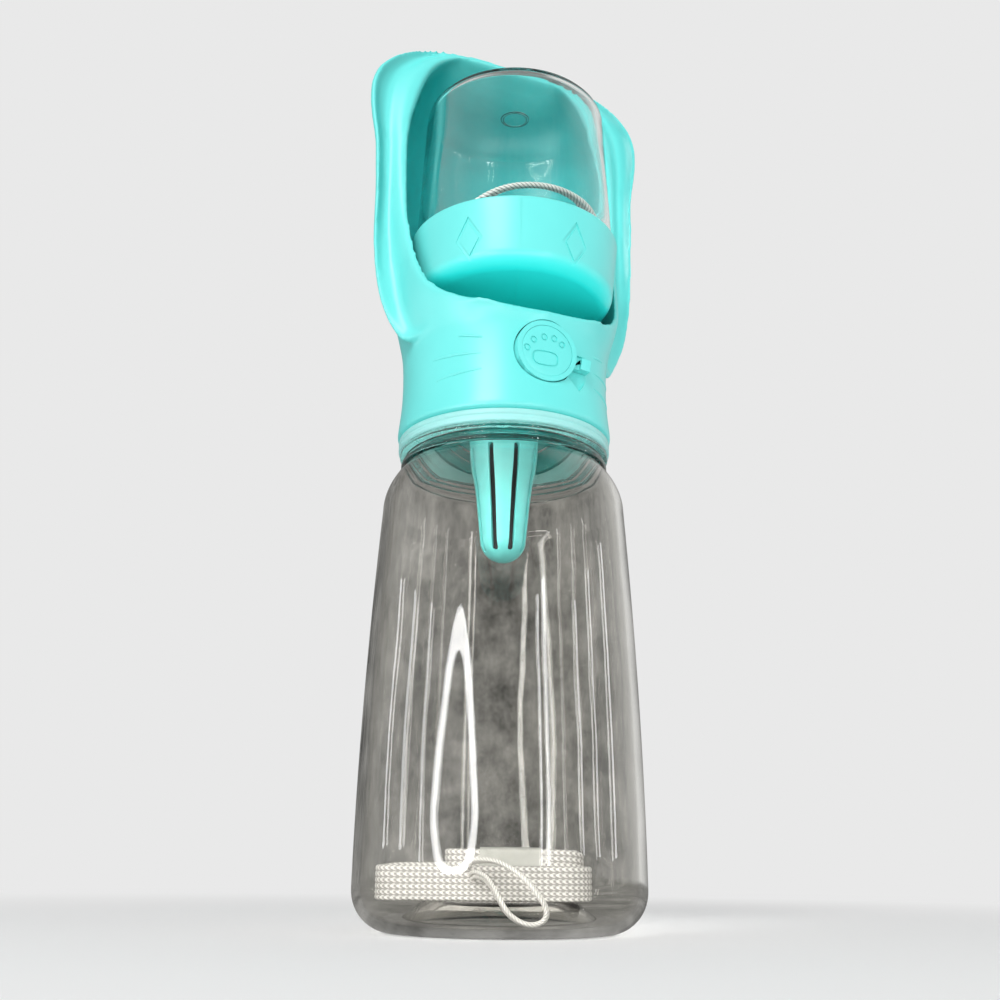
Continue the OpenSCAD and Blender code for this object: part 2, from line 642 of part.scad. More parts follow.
lid_twist = -48;
module food_cup_lid() {
    band_r = lid_r - lid_taper;
    mid = 0.42 * lid_h;
    band_h = lid_h - lid_round;
    mid_r = band_r + lid_taper * (mid - lid_round) / band_h;
    color(teal) translate([0, cup_y, 0]) difference() {
        rotate_extrude() polygon(concat(
            [[0, lid_z]],
            arc(band_r - lid_round, lid_z + lid_round, lid_round, -90, 0, 7),
            [[lid_r, rim_z], [mouth_r + lid_gap, rim_z], [mouth_r + lid_gap, mouth_z - lid_gap],
                [band_r - lid_round - 0.5, lid_z + lid_wall], [0, lid_z + lid_wall]]));
        for (i = [0:rhombus_n - 1]) rotate(lid_twist + 360 * i / rhombus_n) translate([0, line_depth - mid_r, lid_z + mid])
            rotate([90 + atan(lid_taper / band_h), 0, 0]) linear_extrude(3) difference() {
                rhombus(rhombus_w, rhombus_h);
                rhombus(rhombus_w - 2.4 * line_w, rhombus_h - 3.6 * line_w);
            }
    }
}

module rhombus(w, h) {
    polygon([[w / 2, 0], [0, h / 2], [-w / 2, 0], [0, -h / 2]]);
}

lid_seal_h = 1.6;
module lid_seal() {
    color(milky) translate([0, cup_y, lid_z + lid_wall]) difference() {
        cylinder(h = lid_seal_h, r = lid_r - lid_taper - lid_round - 0.6);
        translate([0, 0, -1]) cylinder(h = 4, r = lid_r - lid_taper - lid_round - 2.6);
    }
}

// The twisted cord lies along the cup's wall, high in front; heights count from the lid's end face
cup_cord_route = [[-12, 20.8, 5], [-20.5, 14.3, 6], [-24.8, 4.4, 9.5], [-24.3, -6.5, 15.5], [-19.7, -15.6, 21.3],
    [-12.6, -21.8, 25], [-3.5, -24.9, 26.5], [6.1, -24.4, 26.4], [14.1, -20.9, 24.5], [20.4, -14.8, 19.5],
    [24.3, -6.1, 13], [24.6, 4.3, 8], [20.1, 14.1, 5.5], [11.5, 19.9, 5]];
cup_cord_k = (mouth_r - cup_wall) / 26.4;
module cup_cord() {
    route = [for (p = cup_cord_route) [cup_cord_k * p[0], cup_cord_k * p[1] + cup_y, lid_z + p[2]]];
    color(cord_grey) tube(smooth(route, 3), cord_d, 8);
}

bottle_body();
wrist_strap();
strap_cord();
strap_band();
neck_seal();
head_shell();
screw_collar();
valve_body();
valve_gasket();
plunger_spring();
lock_ring();
paw_button();
valve_plunger();
plunger_seals();
plunger_clip();
filter_basket();
filter_core();
food_cup();
food_cup_lid();
lid_seal();
cup_cord();
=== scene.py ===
# %% [markdown]
# # A dog's travel water bottle
# A clear bottle, a moulded head that is a drinking bowl, and a food cup stored in that bowl.
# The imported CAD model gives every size. This file gives each visible piece its finish,
# and models again those pieces whose real shape is finer than the CAD solid.

# %% Load the CAD model
import math

import bpy
from mathutils import Matrix, Vector


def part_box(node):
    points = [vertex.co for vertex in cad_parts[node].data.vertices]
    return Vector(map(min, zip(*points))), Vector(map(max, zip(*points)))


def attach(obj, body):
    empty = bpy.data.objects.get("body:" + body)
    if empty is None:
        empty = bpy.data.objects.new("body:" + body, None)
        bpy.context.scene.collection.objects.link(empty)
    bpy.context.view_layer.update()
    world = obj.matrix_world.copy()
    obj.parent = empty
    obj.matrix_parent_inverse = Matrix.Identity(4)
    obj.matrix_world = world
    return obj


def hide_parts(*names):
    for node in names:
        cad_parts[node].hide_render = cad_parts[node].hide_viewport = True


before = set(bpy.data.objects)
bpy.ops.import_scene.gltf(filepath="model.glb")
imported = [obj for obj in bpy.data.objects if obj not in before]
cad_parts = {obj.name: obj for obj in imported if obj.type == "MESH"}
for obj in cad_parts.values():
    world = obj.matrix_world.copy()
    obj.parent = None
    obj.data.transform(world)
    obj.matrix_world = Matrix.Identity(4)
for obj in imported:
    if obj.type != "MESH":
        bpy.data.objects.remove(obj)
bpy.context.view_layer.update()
MM = 0.001
print("CAD nodes:", len(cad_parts))

# %% [markdown]
# ## Camera
# The photograph was taken from low in front, a little to the left of the button, looking up.
# The camera stands at that place, with a lens that gives the same perspective.

# %% Camera
CAMERA_SIDE = math.radians(-22.5)
CAMERA_FAR = 308 * MM
CAMERA_HIGH = 16 * MM
CAMERA_UP = math.radians(17.75)
CAMERA_TURN = math.radians(-22.325)
CAMERA_ROLL = math.radians(0.6)
LENS = 41.22

camera = bpy.data.objects.new("camera", bpy.data.cameras.new("camera"))
bpy.context.scene.collection.objects.link(camera)
camera.data.sensor_width = 36
camera.data.lens = LENS
camera.data.clip_start = 0.01
place = Matrix.Translation((CAMERA_FAR * math.sin(CAMERA_SIDE), -CAMERA_FAR * math.cos(CAMERA_SIDE), CAMERA_HIGH))
turn = Matrix.Rotation(CAMERA_TURN, 4, "Z") @ Matrix.Rotation(math.pi / 2 + CAMERA_UP, 4, "X")
camera.matrix_world = place @ turn @ Matrix.Rotation(CAMERA_ROLL, 4, "Z")
bpy.context.scene.camera = camera
print("camera at", [round(v, 3) for v in camera.location])

bpy.context.scene.view_settings.view_transform = "Standard"

# %% [markdown]
# ## Routes of the cords
# A folded wrist strap lies in the bottle, a thin loop hangs on it, and a second thin cord is
# coiled up in the food cup. A cord could be a bevelled curve, but then it stays a smooth wire.
# Here each route is a dense list of points, and a ring of points is set round every one of
# them, so that plies and braiding are real ridges. The routes repeat those of the CAD model.

# %% Routes
STRAP_FRAME = Matrix.Rotation(math.radians(-22.5), 3, "Z")
FLOOR_Z, STRAP_Y = 7.6, -4
STRAP_TURNS, STEPS_A_TURN = 2.25, 20
STRAP_HALF, STRAP_PITCH, STRAP_RISE = 3.2, 1.9, 4
STRAP_RIGHT, STRAP_LEFT, OUTER_LONGER = 15.8, -9.5, 15.4


def spline_route(points, steps):
    """A smooth line through given points."""
    line = []
    for i in range(len(points) - 1):
        a, b, c, d = (Vector(points[max(0, min(len(points) - 1, i + k))]) for k in (-1, 0, 1, 2))
        for k in range(steps):
            t = k / steps
            line.append(0.5 * (2 * b + (c - a) * t + (2 * a - 5 * b + 4 * c - d) * t * t + (3 * b - a - 3 * c + d) * t ** 3))
    return line + [Vector(points[-1])]


def evened(line, step):
    """The same line with points one step apart."""
    made, left = [line[0].copy()], step
    for a, b in zip(line, line[1:]):
        long = (b - a).length
        while left <= long:
            made.append(a.lerp(b, left / long))
            left += step
        left -= long
    return made


def softened(line, reach):
    """Rounds the corners of an evened line: each point becomes the mean of its neighbours."""
    last = len(line) - 1
    return [sum((line[j] for j in range(i - k, i + k + 1)), Vector()) / (2 * k + 1)
            for i in range(last + 1) for k in [min(reach, i, last - i)]]


def long_of(line):
    return sum((b - a).length for a, b in zip(line, line[1:]))


def strap_at(turns):
    """The folded strap's middle line, on edge: long loops, the inner ones lying a little higher."""
    half = STRAP_HALF + STRAP_PITCH * turns
    side = math.cos(2 * math.pi * turns)
    middle = STRAP_RIGHT if side > -0.01 else STRAP_LEFT - OUTER_LONGER * math.floor(turns)
    settle = min(1, max(0, (turns - 0.75) / 0.75))
    high = FLOOR_Z + STRAP_RISE * (1 - settle * settle * (3 - 2 * settle))
    return Vector((middle + half * side, STRAP_Y + half * math.sin(2 * math.pi * turns), high))


strap_line = [STRAP_FRAME @ strap_at(k / STEPS_A_TURN) * MM for k in range(int(STRAP_TURNS * STEPS_A_TURN) + 1)]
strap_line = softened(evened(strap_line, 0.25 * MM), 10)

LOOP_POINTS = [(-7.5, -9.2, 15.2), (-7.5, -13.5, 17), (-1, -19, 17.2), (5, -23.5, 14), (9.5, -26.2, 9), (11, -26.6, 5.6),
               (9.5, -26.6, 3.6), (6, -27, 3.2), (2, -26.6, 5.5), (-0.5, -25, 9.5), (-3, -20, 13),
               (-6, -14, 14.2), (-7.5, -9.2, 13)]
loop_line = [STRAP_FRAME @ p * MM for p in spline_route(LOOP_POINTS, 12)]
loop_line = softened(evened(loop_line, 0.25 * MM), 7)

CUP_Y, LID_Z = -6.5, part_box("food_cup_lid")[0].z / MM
CUP_CORD_WIDER = 0.981
CUP_CORD_POINTS = [(-12, 20.8, 5), (-20.5, 14.3, 6), (-24.8, 4.4, 9.5), (-24.3, -6.5, 15.5), (-19.7, -15.6, 21.3),
                   (-12.6, -21.8, 25), (-3.5, -24.9, 26.5), (6.1, -24.4, 26.4), (14.1, -20.9, 24.5), (20.4, -14.8, 19.5),
                   (24.3, -6.1, 13), (24.6, 4.3, 8), (20.1, 14.1, 5.5), (11.5, 19.9, 5)]
cup_line = [Vector((p.x * CUP_CORD_WIDER, p.y * CUP_CORD_WIDER + CUP_Y, p.z + LID_Z)) * MM
            for p in spline_route(CUP_CORD_POINTS, 12)]
cup_line = evened(cup_line, 0.2 * MM)
print("strap %.3f m, loop %.3f m, cup cord %.3f m" % (long_of(strap_line), long_of(loop_line), long_of(cup_line)))

# %% Tubes round a route
def select_only(piece):
    bpy.ops.object.select_all(action="DESELECT")
    piece.select_set(True)
    bpy.context.view_layer.objects.active = piece


def edit_all(piece):
    """Opens a piece's mesh for editing, with all of it selected."""
    select_only(piece)
    bpy.ops.object.mode_set(mode="EDIT")
    bpy.ops.mesh.select_all(action="SELECT")


def turned_outwards(piece):
    """Turns the faces of an opened mesh outwards and closes it."""
    bpy.ops.mesh.normals_make_consistent(inside=False)
    bpy.ops.object.mode_set(mode="OBJECT")
    return piece


def smooth_shaded(piece, degrees):
    select_only(piece)
    bpy.ops.object.shade_smooth_by_angle(angle=math.radians(degrees))


def new_piece(name, mesh):
    piece = bpy.data.objects.new(name, mesh)
    bpy.context.scene.collection.objects.link(piece)
    return piece


def tube_faces(count, around, hoop=False):
    """The faces between rings of points. A hoop's last ring joins its first, and any other tube has flat ends."""
    faces = [(i * around + j, i * around + (j + 1) % around, (i + 1) % count * around + (j + 1) % around,
              (i + 1) % count * around + j) for i in range(count if hoop else count - 1) for j in range(around)]
    if not hoop:
        last = (count - 1) * around
        faces += [tuple(range(around))[::-1], tuple(last + j for j in range(around))]
    return faces


def ring_mesh(name, rings, values):
    """A tube from rings of points, each with a value from 0 to 1 that its finish can read."""
    mesh = bpy.data.meshes.new(name)
    mesh.from_pydata([p for ring in rings for p in ring], [], tube_faces(len(rings), len(rings[0])))
    layer = mesh.attributes.new("ply", "FLOAT", "POINT")
    layer.data.foreach_set("value", [v for row in values for v in row])
    mesh.update()
    piece = new_piece(name, mesh)
    edit_all(piece)
    smooth_shaded(turned_outwards(piece), 50)
    return piece


def frames_along(line):
    """A side and an up direction at every point, carried along without turning."""
    ahead = [(line[min(i + 1, len(line) - 1)] - line[max(i - 1, 0)]).normalized() for i in range(len(line))]
    side = ahead[0].cross(Vector((0, 0, 1))).normalized()
    made = []
    for direction in ahead:
        side = (side - direction * side.dot(direction)).normalized()
        made.append((side, direction.cross(side)))
    return made


def twisted(name, line, thick, plies, pitch, around=18):
    """A cord of a few plies, twisted."""
    rings, values = [], []
    for i, (point, (side, up)) in enumerate(zip(line, frames_along(line))):
        turn = 2 * math.pi * i * (line[1] - line[0]).length / (pitch * plies)
        ring, row = [], []
        for j in range(around):
            angle = 2 * math.pi * j / around
            ridge = abs(math.cos(plies / 2 * (angle - turn)))
            radius = thick / 2 * (0.76 + 0.24 * ridge)
            ring.append(point + radius * (math.cos(angle) * side + math.sin(angle) * up))
            row.append(ridge)
        rings.append(ring)
        values.append(row)
    return ring_mesh(name, rings, values)


print("tube helpers ready")

# %% [markdown]
# ## Wrist strap, thin loop and cup cord
# The strap is a flat braid, so its ridges are small V shapes in rows along its length. The
# loop is two thin strands that lie side by side. The cup's cord is twisted, and lies doubled.

# %% Wrist strap
STRAP_WIDE, STRAP_THICK = 8.6 * MM, 1.2 * MM
BRAID_ROWS, BRAID_PITCH, BRAID_DEEP = 6, 1.5 * MM, 0.13 * MM
STRAP_ACROSS = 31


def braid(along, across):
    """How high the braid stands, from 0 to 1: rows of V stitches."""
    row = across * BRAID_ROWS
    off = row - math.floor(row) - 0.5
    stitch = 0.5 + 0.5 * math.cos(2 * math.pi * (along / BRAID_PITCH - 0.9 * abs(off) * 2))
    return stitch * math.sqrt(max(0, math.cos(math.pi * off)))


def strap_mesh():
    rings, values = [], []
    step = (strap_line[1] - strap_line[0]).length
    for i, point in enumerate(strap_line):
        ahead = strap_line[min(i + 1, len(strap_line) - 1)] - strap_line[max(i - 1, 0)]
        side = Vector((-ahead.y, ahead.x, 0)).normalized()
        ring, row = [], []
        for face in (1, -1):
            for k in range(STRAP_ACROSS):
                across = k / (STRAP_ACROSS - 1)
                across = across if face == 1 else 1 - across
                edge = min(across, 1 - across) * STRAP_WIDE / (0.5 * STRAP_THICK)
                full = math.sqrt(max(0.02, 1 - (1 - min(1, edge)) ** 2))
                high = braid(i * step + (0 if face == 1 else BRAID_PITCH / 2), across)
                out = (STRAP_THICK / 2 - BRAID_DEEP * (1 - high)) * full
                ring.append(point + side * (face * out) + Vector((0, 0, across * STRAP_WIDE)))
                row.append(high)
        rings.append(ring)
        values.append(row)
    return ring_mesh("wrist_strap_braid", rings, values)


strap = strap_mesh()
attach(strap, "bottle")
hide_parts("wrist_strap")
print("strap faces:", len(strap.data.polygons))

# %% Thin loop
LOOP_THICK = 1.15 * MM


def loop_mesh():
    """Two strands side by side along one route, made one piece."""
    halves = []
    for sign in (-1, 1):
        line = [p + side * (sign * LOOP_THICK / 2) for p, (side, _) in zip(loop_line, frames_along(loop_line))]
        halves.append(twisted("thin_loop_%d" % (sign + 1), line, LOOP_THICK, 4, 0.9 * MM, around=16))
    bpy.ops.object.select_all(action="DESELECT")
    for half in halves:
        half.select_set(True)
    bpy.context.view_layer.objects.active = halves[0]
    bpy.ops.object.join()
    halves[0].name = "thin_loop"
    return halves[0]


loop = loop_mesh()
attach(loop, "bottle")
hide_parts("strap_cord")
print("loop faces:", len(loop.data.polygons))

# %% Cup cord
CUP_CORD_THICK = 1.45 * MM
RUNS_MIDDLE, RUNS_END = 1.75 * MM, 7.0 * MM


def inner_run(line):
    """The way back of the doubled cord: nearer to the cup's axis, close by in the middle and apart at the ends."""
    axis = Vector((0, CUP_Y * MM, 0))
    back = []
    for i, point in enumerate(line):
        out = Vector((point.x - axis.x, point.y - axis.y, 0)).normalized()
        end = abs(2 * i / len(line) - 1) ** 4
        apart = RUNS_MIDDLE + (RUNS_END - RUNS_MIDDLE) * end
        back.append(point - out * apart * 0.8 + Vector((0, 0, 0.35 * MM + 0.6 * (apart - RUNS_MIDDLE))))
    return back[::-1]


def turn_back(line, back):
    """A half circle from the end of one run to the start of the other."""
    middle, half = (line[-1] + back[0]) / 2, (line[-1] - back[0]) / 2
    ahead = (line[-1] - line[-6]).normalized() * half.length
    return [middle + half * math.cos(math.pi * k / 24) + ahead * math.sin(math.pi * k / 24) for k in range(1, 24)]


way_back = inner_run(cup_line)
doubled = softened(evened(cup_line + turn_back(cup_line, way_back) + way_back, 0.2 * MM), 3)
cup_cord = twisted("cup_cord_twist", doubled, CUP_CORD_THICK, 3, 1.15 * MM)
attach(cup_cord, "lid")
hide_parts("cup_cord")
print("cup cord %.3f m, faces %d" % (long_of(doubled), len(cup_cord.data.polygons)))

# %% [markdown]
# ## Shaping helpers
# Each new piece starts as a primitive or as an outline that is spun round its axis, and is
# then cut, joined and rounded. Modifiers are applied at once, so what is left is a plain mesh
# whose object sits at the origin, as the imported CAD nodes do.

# %% Shaping helpers
def apply_modifier(piece, kind, **settings):
    """Adds a modifier and applies it at once."""
    select_only(piece)
    made = piece.modifiers.new(kind.lower(), kind)
    for name, value in settings.items():
        setattr(made, name, value)
    bpy.ops.object.modifier_apply(modifier=made.name)


def combine(piece, tool, operation="DIFFERENCE"):
    """Cuts a second solid out of a piece, or joins it on, and removes the second solid."""
    apply_modifier(piece, "BOOLEAN", object=tool, operation=operation, solver="MANIFOLD")
    bpy.data.objects.remove(tool)


def solid(name, points, faces, edges=()):
    """A mesh object from points in millimetres."""
    mesh = bpy.data.meshes.new(name)
    mesh.from_pydata([Vector(p) * MM for p in points], list(edges), faces)
    return new_piece(name, mesh)


def merged(piece):
    """Merges doubled points and turns all faces outwards."""
    edit_all(piece)
    bpy.ops.mesh.remove_doubles(threshold=0.001 * MM)
    return turned_outwards(piece)


def mm_box(node):
    """A CAD node's lowest and highest corners, in millimetres."""
    low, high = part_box(node)
    return Vector(low) / MM, Vector(high) / MM


print("shaping helpers ready")

# %% Outlines
def mix(a, b, share):
    return a + (b - a) * share


def rounded(corners, steps=5):
    """An outline in which each corner that has a third number is rounded over that distance. The two ends of an
    outline that stays open have none, because a corner's neighbours are looked up all round."""
    made = []
    for i, corner in enumerate(corners):
        here = Vector(corner[:2])
        if len(corner) == 2:
            made.append(tuple(here))
            continue
        before = Vector(corners[i - 1][:2]) - here
        after = Vector(corners[(i + 1) % len(corners)][:2]) - here
        start = here + before.normalized() * min(corner[2], 0.49 * before.length)
        end = here + after.normalized() * min(corner[2], 0.49 * after.length)
        made += [tuple(start.lerp(here, k / steps).lerp(here.lerp(end, k / steps), k / steps)) for k in range(steps + 1)]
    return made


def arc(x, y, radius, start, end, steps):
    angles = [math.radians(mix(start, end, k / steps)) for k in range(steps + 1)]
    return [(x + radius * math.cos(a), y + radius * math.sin(a)) for a in angles]


def spun(name, outline, centre_y=0.0, steps=144, closed=False):
    """Spins an outline of (radius, height) points round an upright axis. An open outline starts and ends on the axis."""
    count = len(outline)
    edges = [(i, (i + 1) % count) for i in range(count if closed else count - 1)]
    piece = solid(name, [(r, centre_y, z) for r, z in outline], [], edges)
    edit_all(piece)
    bpy.ops.mesh.spin(steps=steps, angle=2 * math.pi, center=(0, centre_y * MM, 0), axis=(0, 0, 1))
    bpy.ops.object.mode_set(mode="OBJECT")
    return merged(piece)


def lofted(name, rings, hoop=False):
    """A closed solid through rings that have the same number of points."""
    return merged(solid(name, [p for ring in rings for p in ring], tube_faces(len(rings), len(rings[0]), hoop)))


def prism(name, outline, placed, thick):
    """A flat outline made thick. placed turns (x, y, depth) into a place."""
    return lofted(name, [[placed(x, y, depth) for x, y in outline] for depth in (0, thick)])


print("outline helpers ready")

# %% [markdown]
# ## The clear bottle
# The real bottle is blown in one piece: a pushed-up base, straight walls that narrow a little
# upwards, a round shoulder, a ledge for the seal and a threaded neck. Its wall thickness shows,
# so both of its faces are in one outline, which is spun round the axis. The thread is a ridge
# that climbs round the neck. A thin wall made with Solidify would have no true neck or base.

# %% Bottle outline
BOTTLE_WALL = 2.0
BASE_CORNER, BODY_TAPER, SHOULDER_H = 10.5, 4.0, 17.0
FOOT_RING, PUNT_H, NECK_WALL = 3.0, 5.6, 1.8
BASE_R, NECK_TOP = mm_box("bottle_body")[1].x, mm_box("bottle_body")[1].z
LEDGE_Z, SEAL_TOP = (corner.z for corner in mm_box("neck_seal"))
LEDGE_R, NECK_R = mm_box("neck_seal")[1].x - 0.5, 26.4
SHOULDER_Z = LEDGE_Z - SHOULDER_H
SHOULDER_R = BASE_R - BODY_TAPER
FOOT_R = BASE_R - BASE_CORNER
PUNT_R = FOOT_R - FOOT_RING
NECK_IN = NECK_R - NECK_WALL


def wall_radius(height):
    share = max(0, (height - BASE_CORNER) / (SHOULDER_Z - BASE_CORNER))
    return BASE_R - BODY_TAPER * share ** 1.8


def wall_line(inset, steps=14):
    heights = [mix(BASE_CORNER, SHOULDER_Z, k / steps) for k in range(1, steps)]
    return [(wall_radius(z) - inset, z) for z in heights]


def shoulder_line(r0, z0, r1, z1, steps=12):
    return [(r0 - (r0 - r1) * (k / steps) ** 2, mix(z0, z1, k / steps)) for k in range(steps)]


BEAD_Z = LEDGE_Z - 1.7
outer = rounded([(0, PUNT_H), (PUNT_R - PUNT_H, PUNT_H, 2.5), (PUNT_R, 0.3, 0.8), (FOOT_R - 1.5, 0)])
outer += arc(FOOT_R, BASE_CORNER, BASE_CORNER, -88, 0, 14) + wall_line(0)
outer += shoulder_line(SHOULDER_R, SHOULDER_Z, LEDGE_R - 1.2, BEAD_Z - 3.2)
outer += rounded([(LEDGE_R - 1.2, BEAD_Z - 3.2), (LEDGE_R - 0.4, BEAD_Z - 2.8, 0.4), (LEDGE_R - 0.4, BEAD_Z - 1.6, 0.4),
                  (LEDGE_R - 1.4, BEAD_Z - 1.1, 0.3), (LEDGE_R - 1.4, BEAD_Z - 0.2, 0.3), (LEDGE_R, BEAD_Z + 0.3, 0.4),
                  (LEDGE_R, LEDGE_Z, 0.4), (NECK_R, LEDGE_Z, 0.3),
                  (NECK_R, NECK_TOP, 0.5), (NECK_IN, NECK_TOP, 0.4), (NECK_IN, NECK_TOP - 2.2, 0.3),
                  (NECK_IN - 0.5, NECK_TOP - 2.9, 0.3),
                  (NECK_IN - 0.5, LEDGE_Z + 1.2, 0.3), (NECK_IN, LEDGE_Z + 0.4, 0.3), (NECK_IN, LEDGE_Z - 2)])
inner = shoulder_line(SHOULDER_R - BOTTLE_WALL, SHOULDER_Z, NECK_IN + 0.9, LEDGE_Z - 3)[::-1]
inner += wall_line(BOTTLE_WALL)[::-1] + arc(FOOT_R, BASE_CORNER, BASE_CORNER - BOTTLE_WALL, 0, -88, 12)
inner += rounded([(PUNT_R + 1, BOTTLE_WALL, 0.8), (PUNT_R + 1 - PUNT_H, PUNT_H + BOTTLE_WALL, 2.5), (0, PUNT_H + BOTTLE_WALL)])
bottle = spun("clear_bottle", outer + inner)
print("bottle faces:", len(bottle.data.polygons))

# %% Thread on the neck
THREAD_PITCH, THREAD_TURNS, THREAD_STEPS = 4.0, 0.6, 40
THREAD_SUNK, THREAD_OUT, THREAD_HIGH = 0.55, 0.85, 0.6


def thread_ring(turn, size):
    """A small section of the ridge. It sinks into the neck at both ends."""
    angle = 2 * math.pi * turn
    height = SEAL_TOP + 1.0 + THREAD_PITCH * turn
    made = []
    for a in (2 * math.pi * k / 10 for k in range(10)):
        far = NECK_R - THREAD_SUNK + THREAD_OUT * size * math.cos(a)
        made.append((far * math.cos(angle), far * math.sin(angle), height + THREAD_HIGH * size * math.sin(a)))
    return made


for start in (0.1, 0.6):
    turns = [start + THREAD_TURNS * 0.75 * k / THREAD_STEPS for k in range(THREAD_STEPS + 1)]
    sizes = [min(1, 0.35 + 4 * min(k, THREAD_STEPS - k) / THREAD_STEPS) for k in range(THREAD_STEPS + 1)]
    spin = Matrix.Rotation(2 * math.pi * start, 3, "Z")
    ridge = lofted("thread", [[spin @ Vector(p) for p in thread_ring(t - start, s)] for t, s in zip(turns, sizes)])
    combine(bottle, ridge, "UNION")
smooth_shaded(bottle, 32)
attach(bottle, "bottle")
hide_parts("bottle_body")
print("bottle with thread:", len(bottle.data.polygons))

# %% [markdown]
# ## The neck seal
# A soft milky ring lies on the ledge, with a groove round its edge. It is spun like the bottle.

# %% Neck seal
SEAL_R, SEAL_IN = LEDGE_R + 0.5, NECK_R + 0.3
middle = (LEDGE_Z + SEAL_TOP) / 2
seal = spun("neck_seal_ring", rounded([
    (SEAL_IN, LEDGE_Z, 0.2), (SEAL_R - 0.1, LEDGE_Z, 0.7), (SEAL_R, middle - 0.45, 0.3), (SEAL_R - 0.35, middle, 0.3),
    (SEAL_R, middle + 0.45, 0.3), (SEAL_R - 0.1, SEAL_TOP, 0.6), (SEAL_IN, SEAL_TOP, 0.2)]), closed=True)
smooth_shaded(seal, 40)
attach(seal, "seal")
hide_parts("neck_seal")
print("seal faces:", len(seal.data.polygons))

# %% [markdown]
# ## The head
# The head is one moulding: a short skirt, a drinking bowl that opens to the front, and a
# flared flange round the opening that rises into two ears. It could be cut from a block, but
# its walls follow three smooth lines. So the outside and the hollow are lofted through level
# slices, the flange is swept round the opening, and the three are joined. A voxel remesh with
# a little smoothing then melts them together, as the radii of a real mould do. What has to stay
# crisp, which is the bore, the button's hole and the whiskers, is made after that.

# %% Head: slices
SKIRT_R, SKIRT_WAIST, SKIRT_H = 30.5, 1.1, 28.3
HEAD_WALL, FLOOR_T, BOWL_GAP, TOP_GAP, CROWN_RAISED = 1.7, 2.0, 2.5, 15.5, 5.0
SKIRT_Z = mm_box("head_shell")[0].z
LIP_Z = SKIRT_Z + SKIRT_H
BOWL_Z = LIP_Z - 0.7
lid_low, lid_high = mm_box("food_cup_lid")
LID_R, LID_Z, RIM_Z, CUP_Y = lid_high.x, lid_low.z, lid_high.z, (lid_low.y + lid_high.y) / 2
CUP_TOP = mm_box("food_cup")[1].z
BOWL_TOP = CUP_TOP + TOP_GAP + CROWN_RAISED
BOWL_W = LID_R + BOWL_GAP
BOWL_D = LID_R + CUP_Y + BOWL_GAP
LOW_W = SKIRT_R - SKIRT_WAIST - HEAD_WALL
BOWL_LOW = [(0, -0.36, 0.8), (0.012, 0, 0.9), (0.04, 0.3, 0.955), (0.09, 0.66, 0.985), (0.17, 0.906, 1)]
BOWL_HIGH = [(0.31, 1, 1), (0.45, 1, 1), (0.62, 1, 1), (0.73, 0.965, 0.97), (0.81, 0.905, 0.91), (0.89, 0.83, 0.8),
             (0.945, 0.735, 0.61), (0.985, 0.6, 0.38), (1, 0.5, 0.2)]
SKIRT_SHAPE = [(0, 0), (0.06, 0.1), (0.35, 0.85), (0.6, 1), (0.82, 0.75), (0.97, 0.2)]

hollow = [(mix(BOWL_Z, BOWL_TOP, s), mix(LOW_W, BOWL_W, w), BOWL_D * d) for s, w, d in BOWL_LOW]
hollow += [(mix(BOWL_Z, BOWL_TOP, s), BOWL_W * w, BOWL_D * d) for s, w, d in BOWL_HIGH]
outside = [(SKIRT_Z + SKIRT_H * s, SKIRT_R - SKIRT_WAIST * w, SKIRT_R - SKIRT_WAIST * (1 if s > 0.5 else w))
           for s, w in SKIRT_SHAPE]
outside += [(z + (HEAD_WALL * 0.9 if i > 7 else 0), w + HEAD_WALL, d + HEAD_WALL) for i, (z, w, d) in enumerate(hollow[3:])]


def slices(rows, around=176):
    """Level rings: round in front, and as deep as the bowl at the back."""
    angles = [2 * math.pi * k / around for k in range(around)]
    return [[(w * math.cos(a), (back if math.sin(a) > 0 else w) * math.sin(a), z) for a in angles]
            for z, w, back in spline_route(rows, 4)]


print("head rows:", len(outside), len(hollow))

# %% Head: the rim of the opening
# Inner and outer edge of the flange, from the lip in front up to the crown
RIM = [((0, -28.6, 0.9), (0, -30.9, 0.2)), ((10, -27, 2.1), (11.2, -29, 1.2)), ((18.6, -22.5, 4.8), (21, -23.8, 3)),
       ((25.9, -16.7, 9.2), (30.2, -6, -3)), ((29.8, -11.7, 16.5), (34.4, -2, 0)), ((31.6, -7.5, 27), (39.4, -1.2, 10.5)),
       ((32.3, -4.5, 38), (41.8, -1.5, 25.5)), ((32.6, -3, 50), (42.2, -2.5, 43)), ((32.5, -2.4, 60), (42.8, -2.2, 58)),
       ((31.6, -2, 69), (44.4, -2, 67.5)), ((29.6, -2, 77), (44.9, -2, 75.6)), ((27.3, -2, 83), (43.2, -2, 81.8)),
       ((25, -2, 87), (39.6, -2, 86.2)), ((22, -2, 90), (34.8, -2, 89.6)), ((18, -2, 92), (29, -2, 92)),
       ((13, -2, 93), (21, -2, 93.9)), ((6.5, -2, 93.4), (10.5, -2, 94.8)), ((0, -2, 93.5), (0, -2, 95))]
RIM_WIDER, RIM_HIGHER = BOWL_W / 32.7, (BOWL_TOP + 1 - LIP_Z) / 93.5
FLANGE_FRONT = [(-0.02, -0.3), (0.06, 0.8), (0.16, 1), (0.34, 0.1), (0.55, -1.7), (0.8, -0.85), (0.93, 0.85), (1, 0.3)]
FLANGE_BACK = [(1, -1.3), (0.9, -2.3), (0.55, -4.1), (0.2, -2.8), (-0.02, -2.2)]
FLANGE_INTO, FLANGE_THINNEST, FULL_FLANGE = 0.8, 0.45, 9

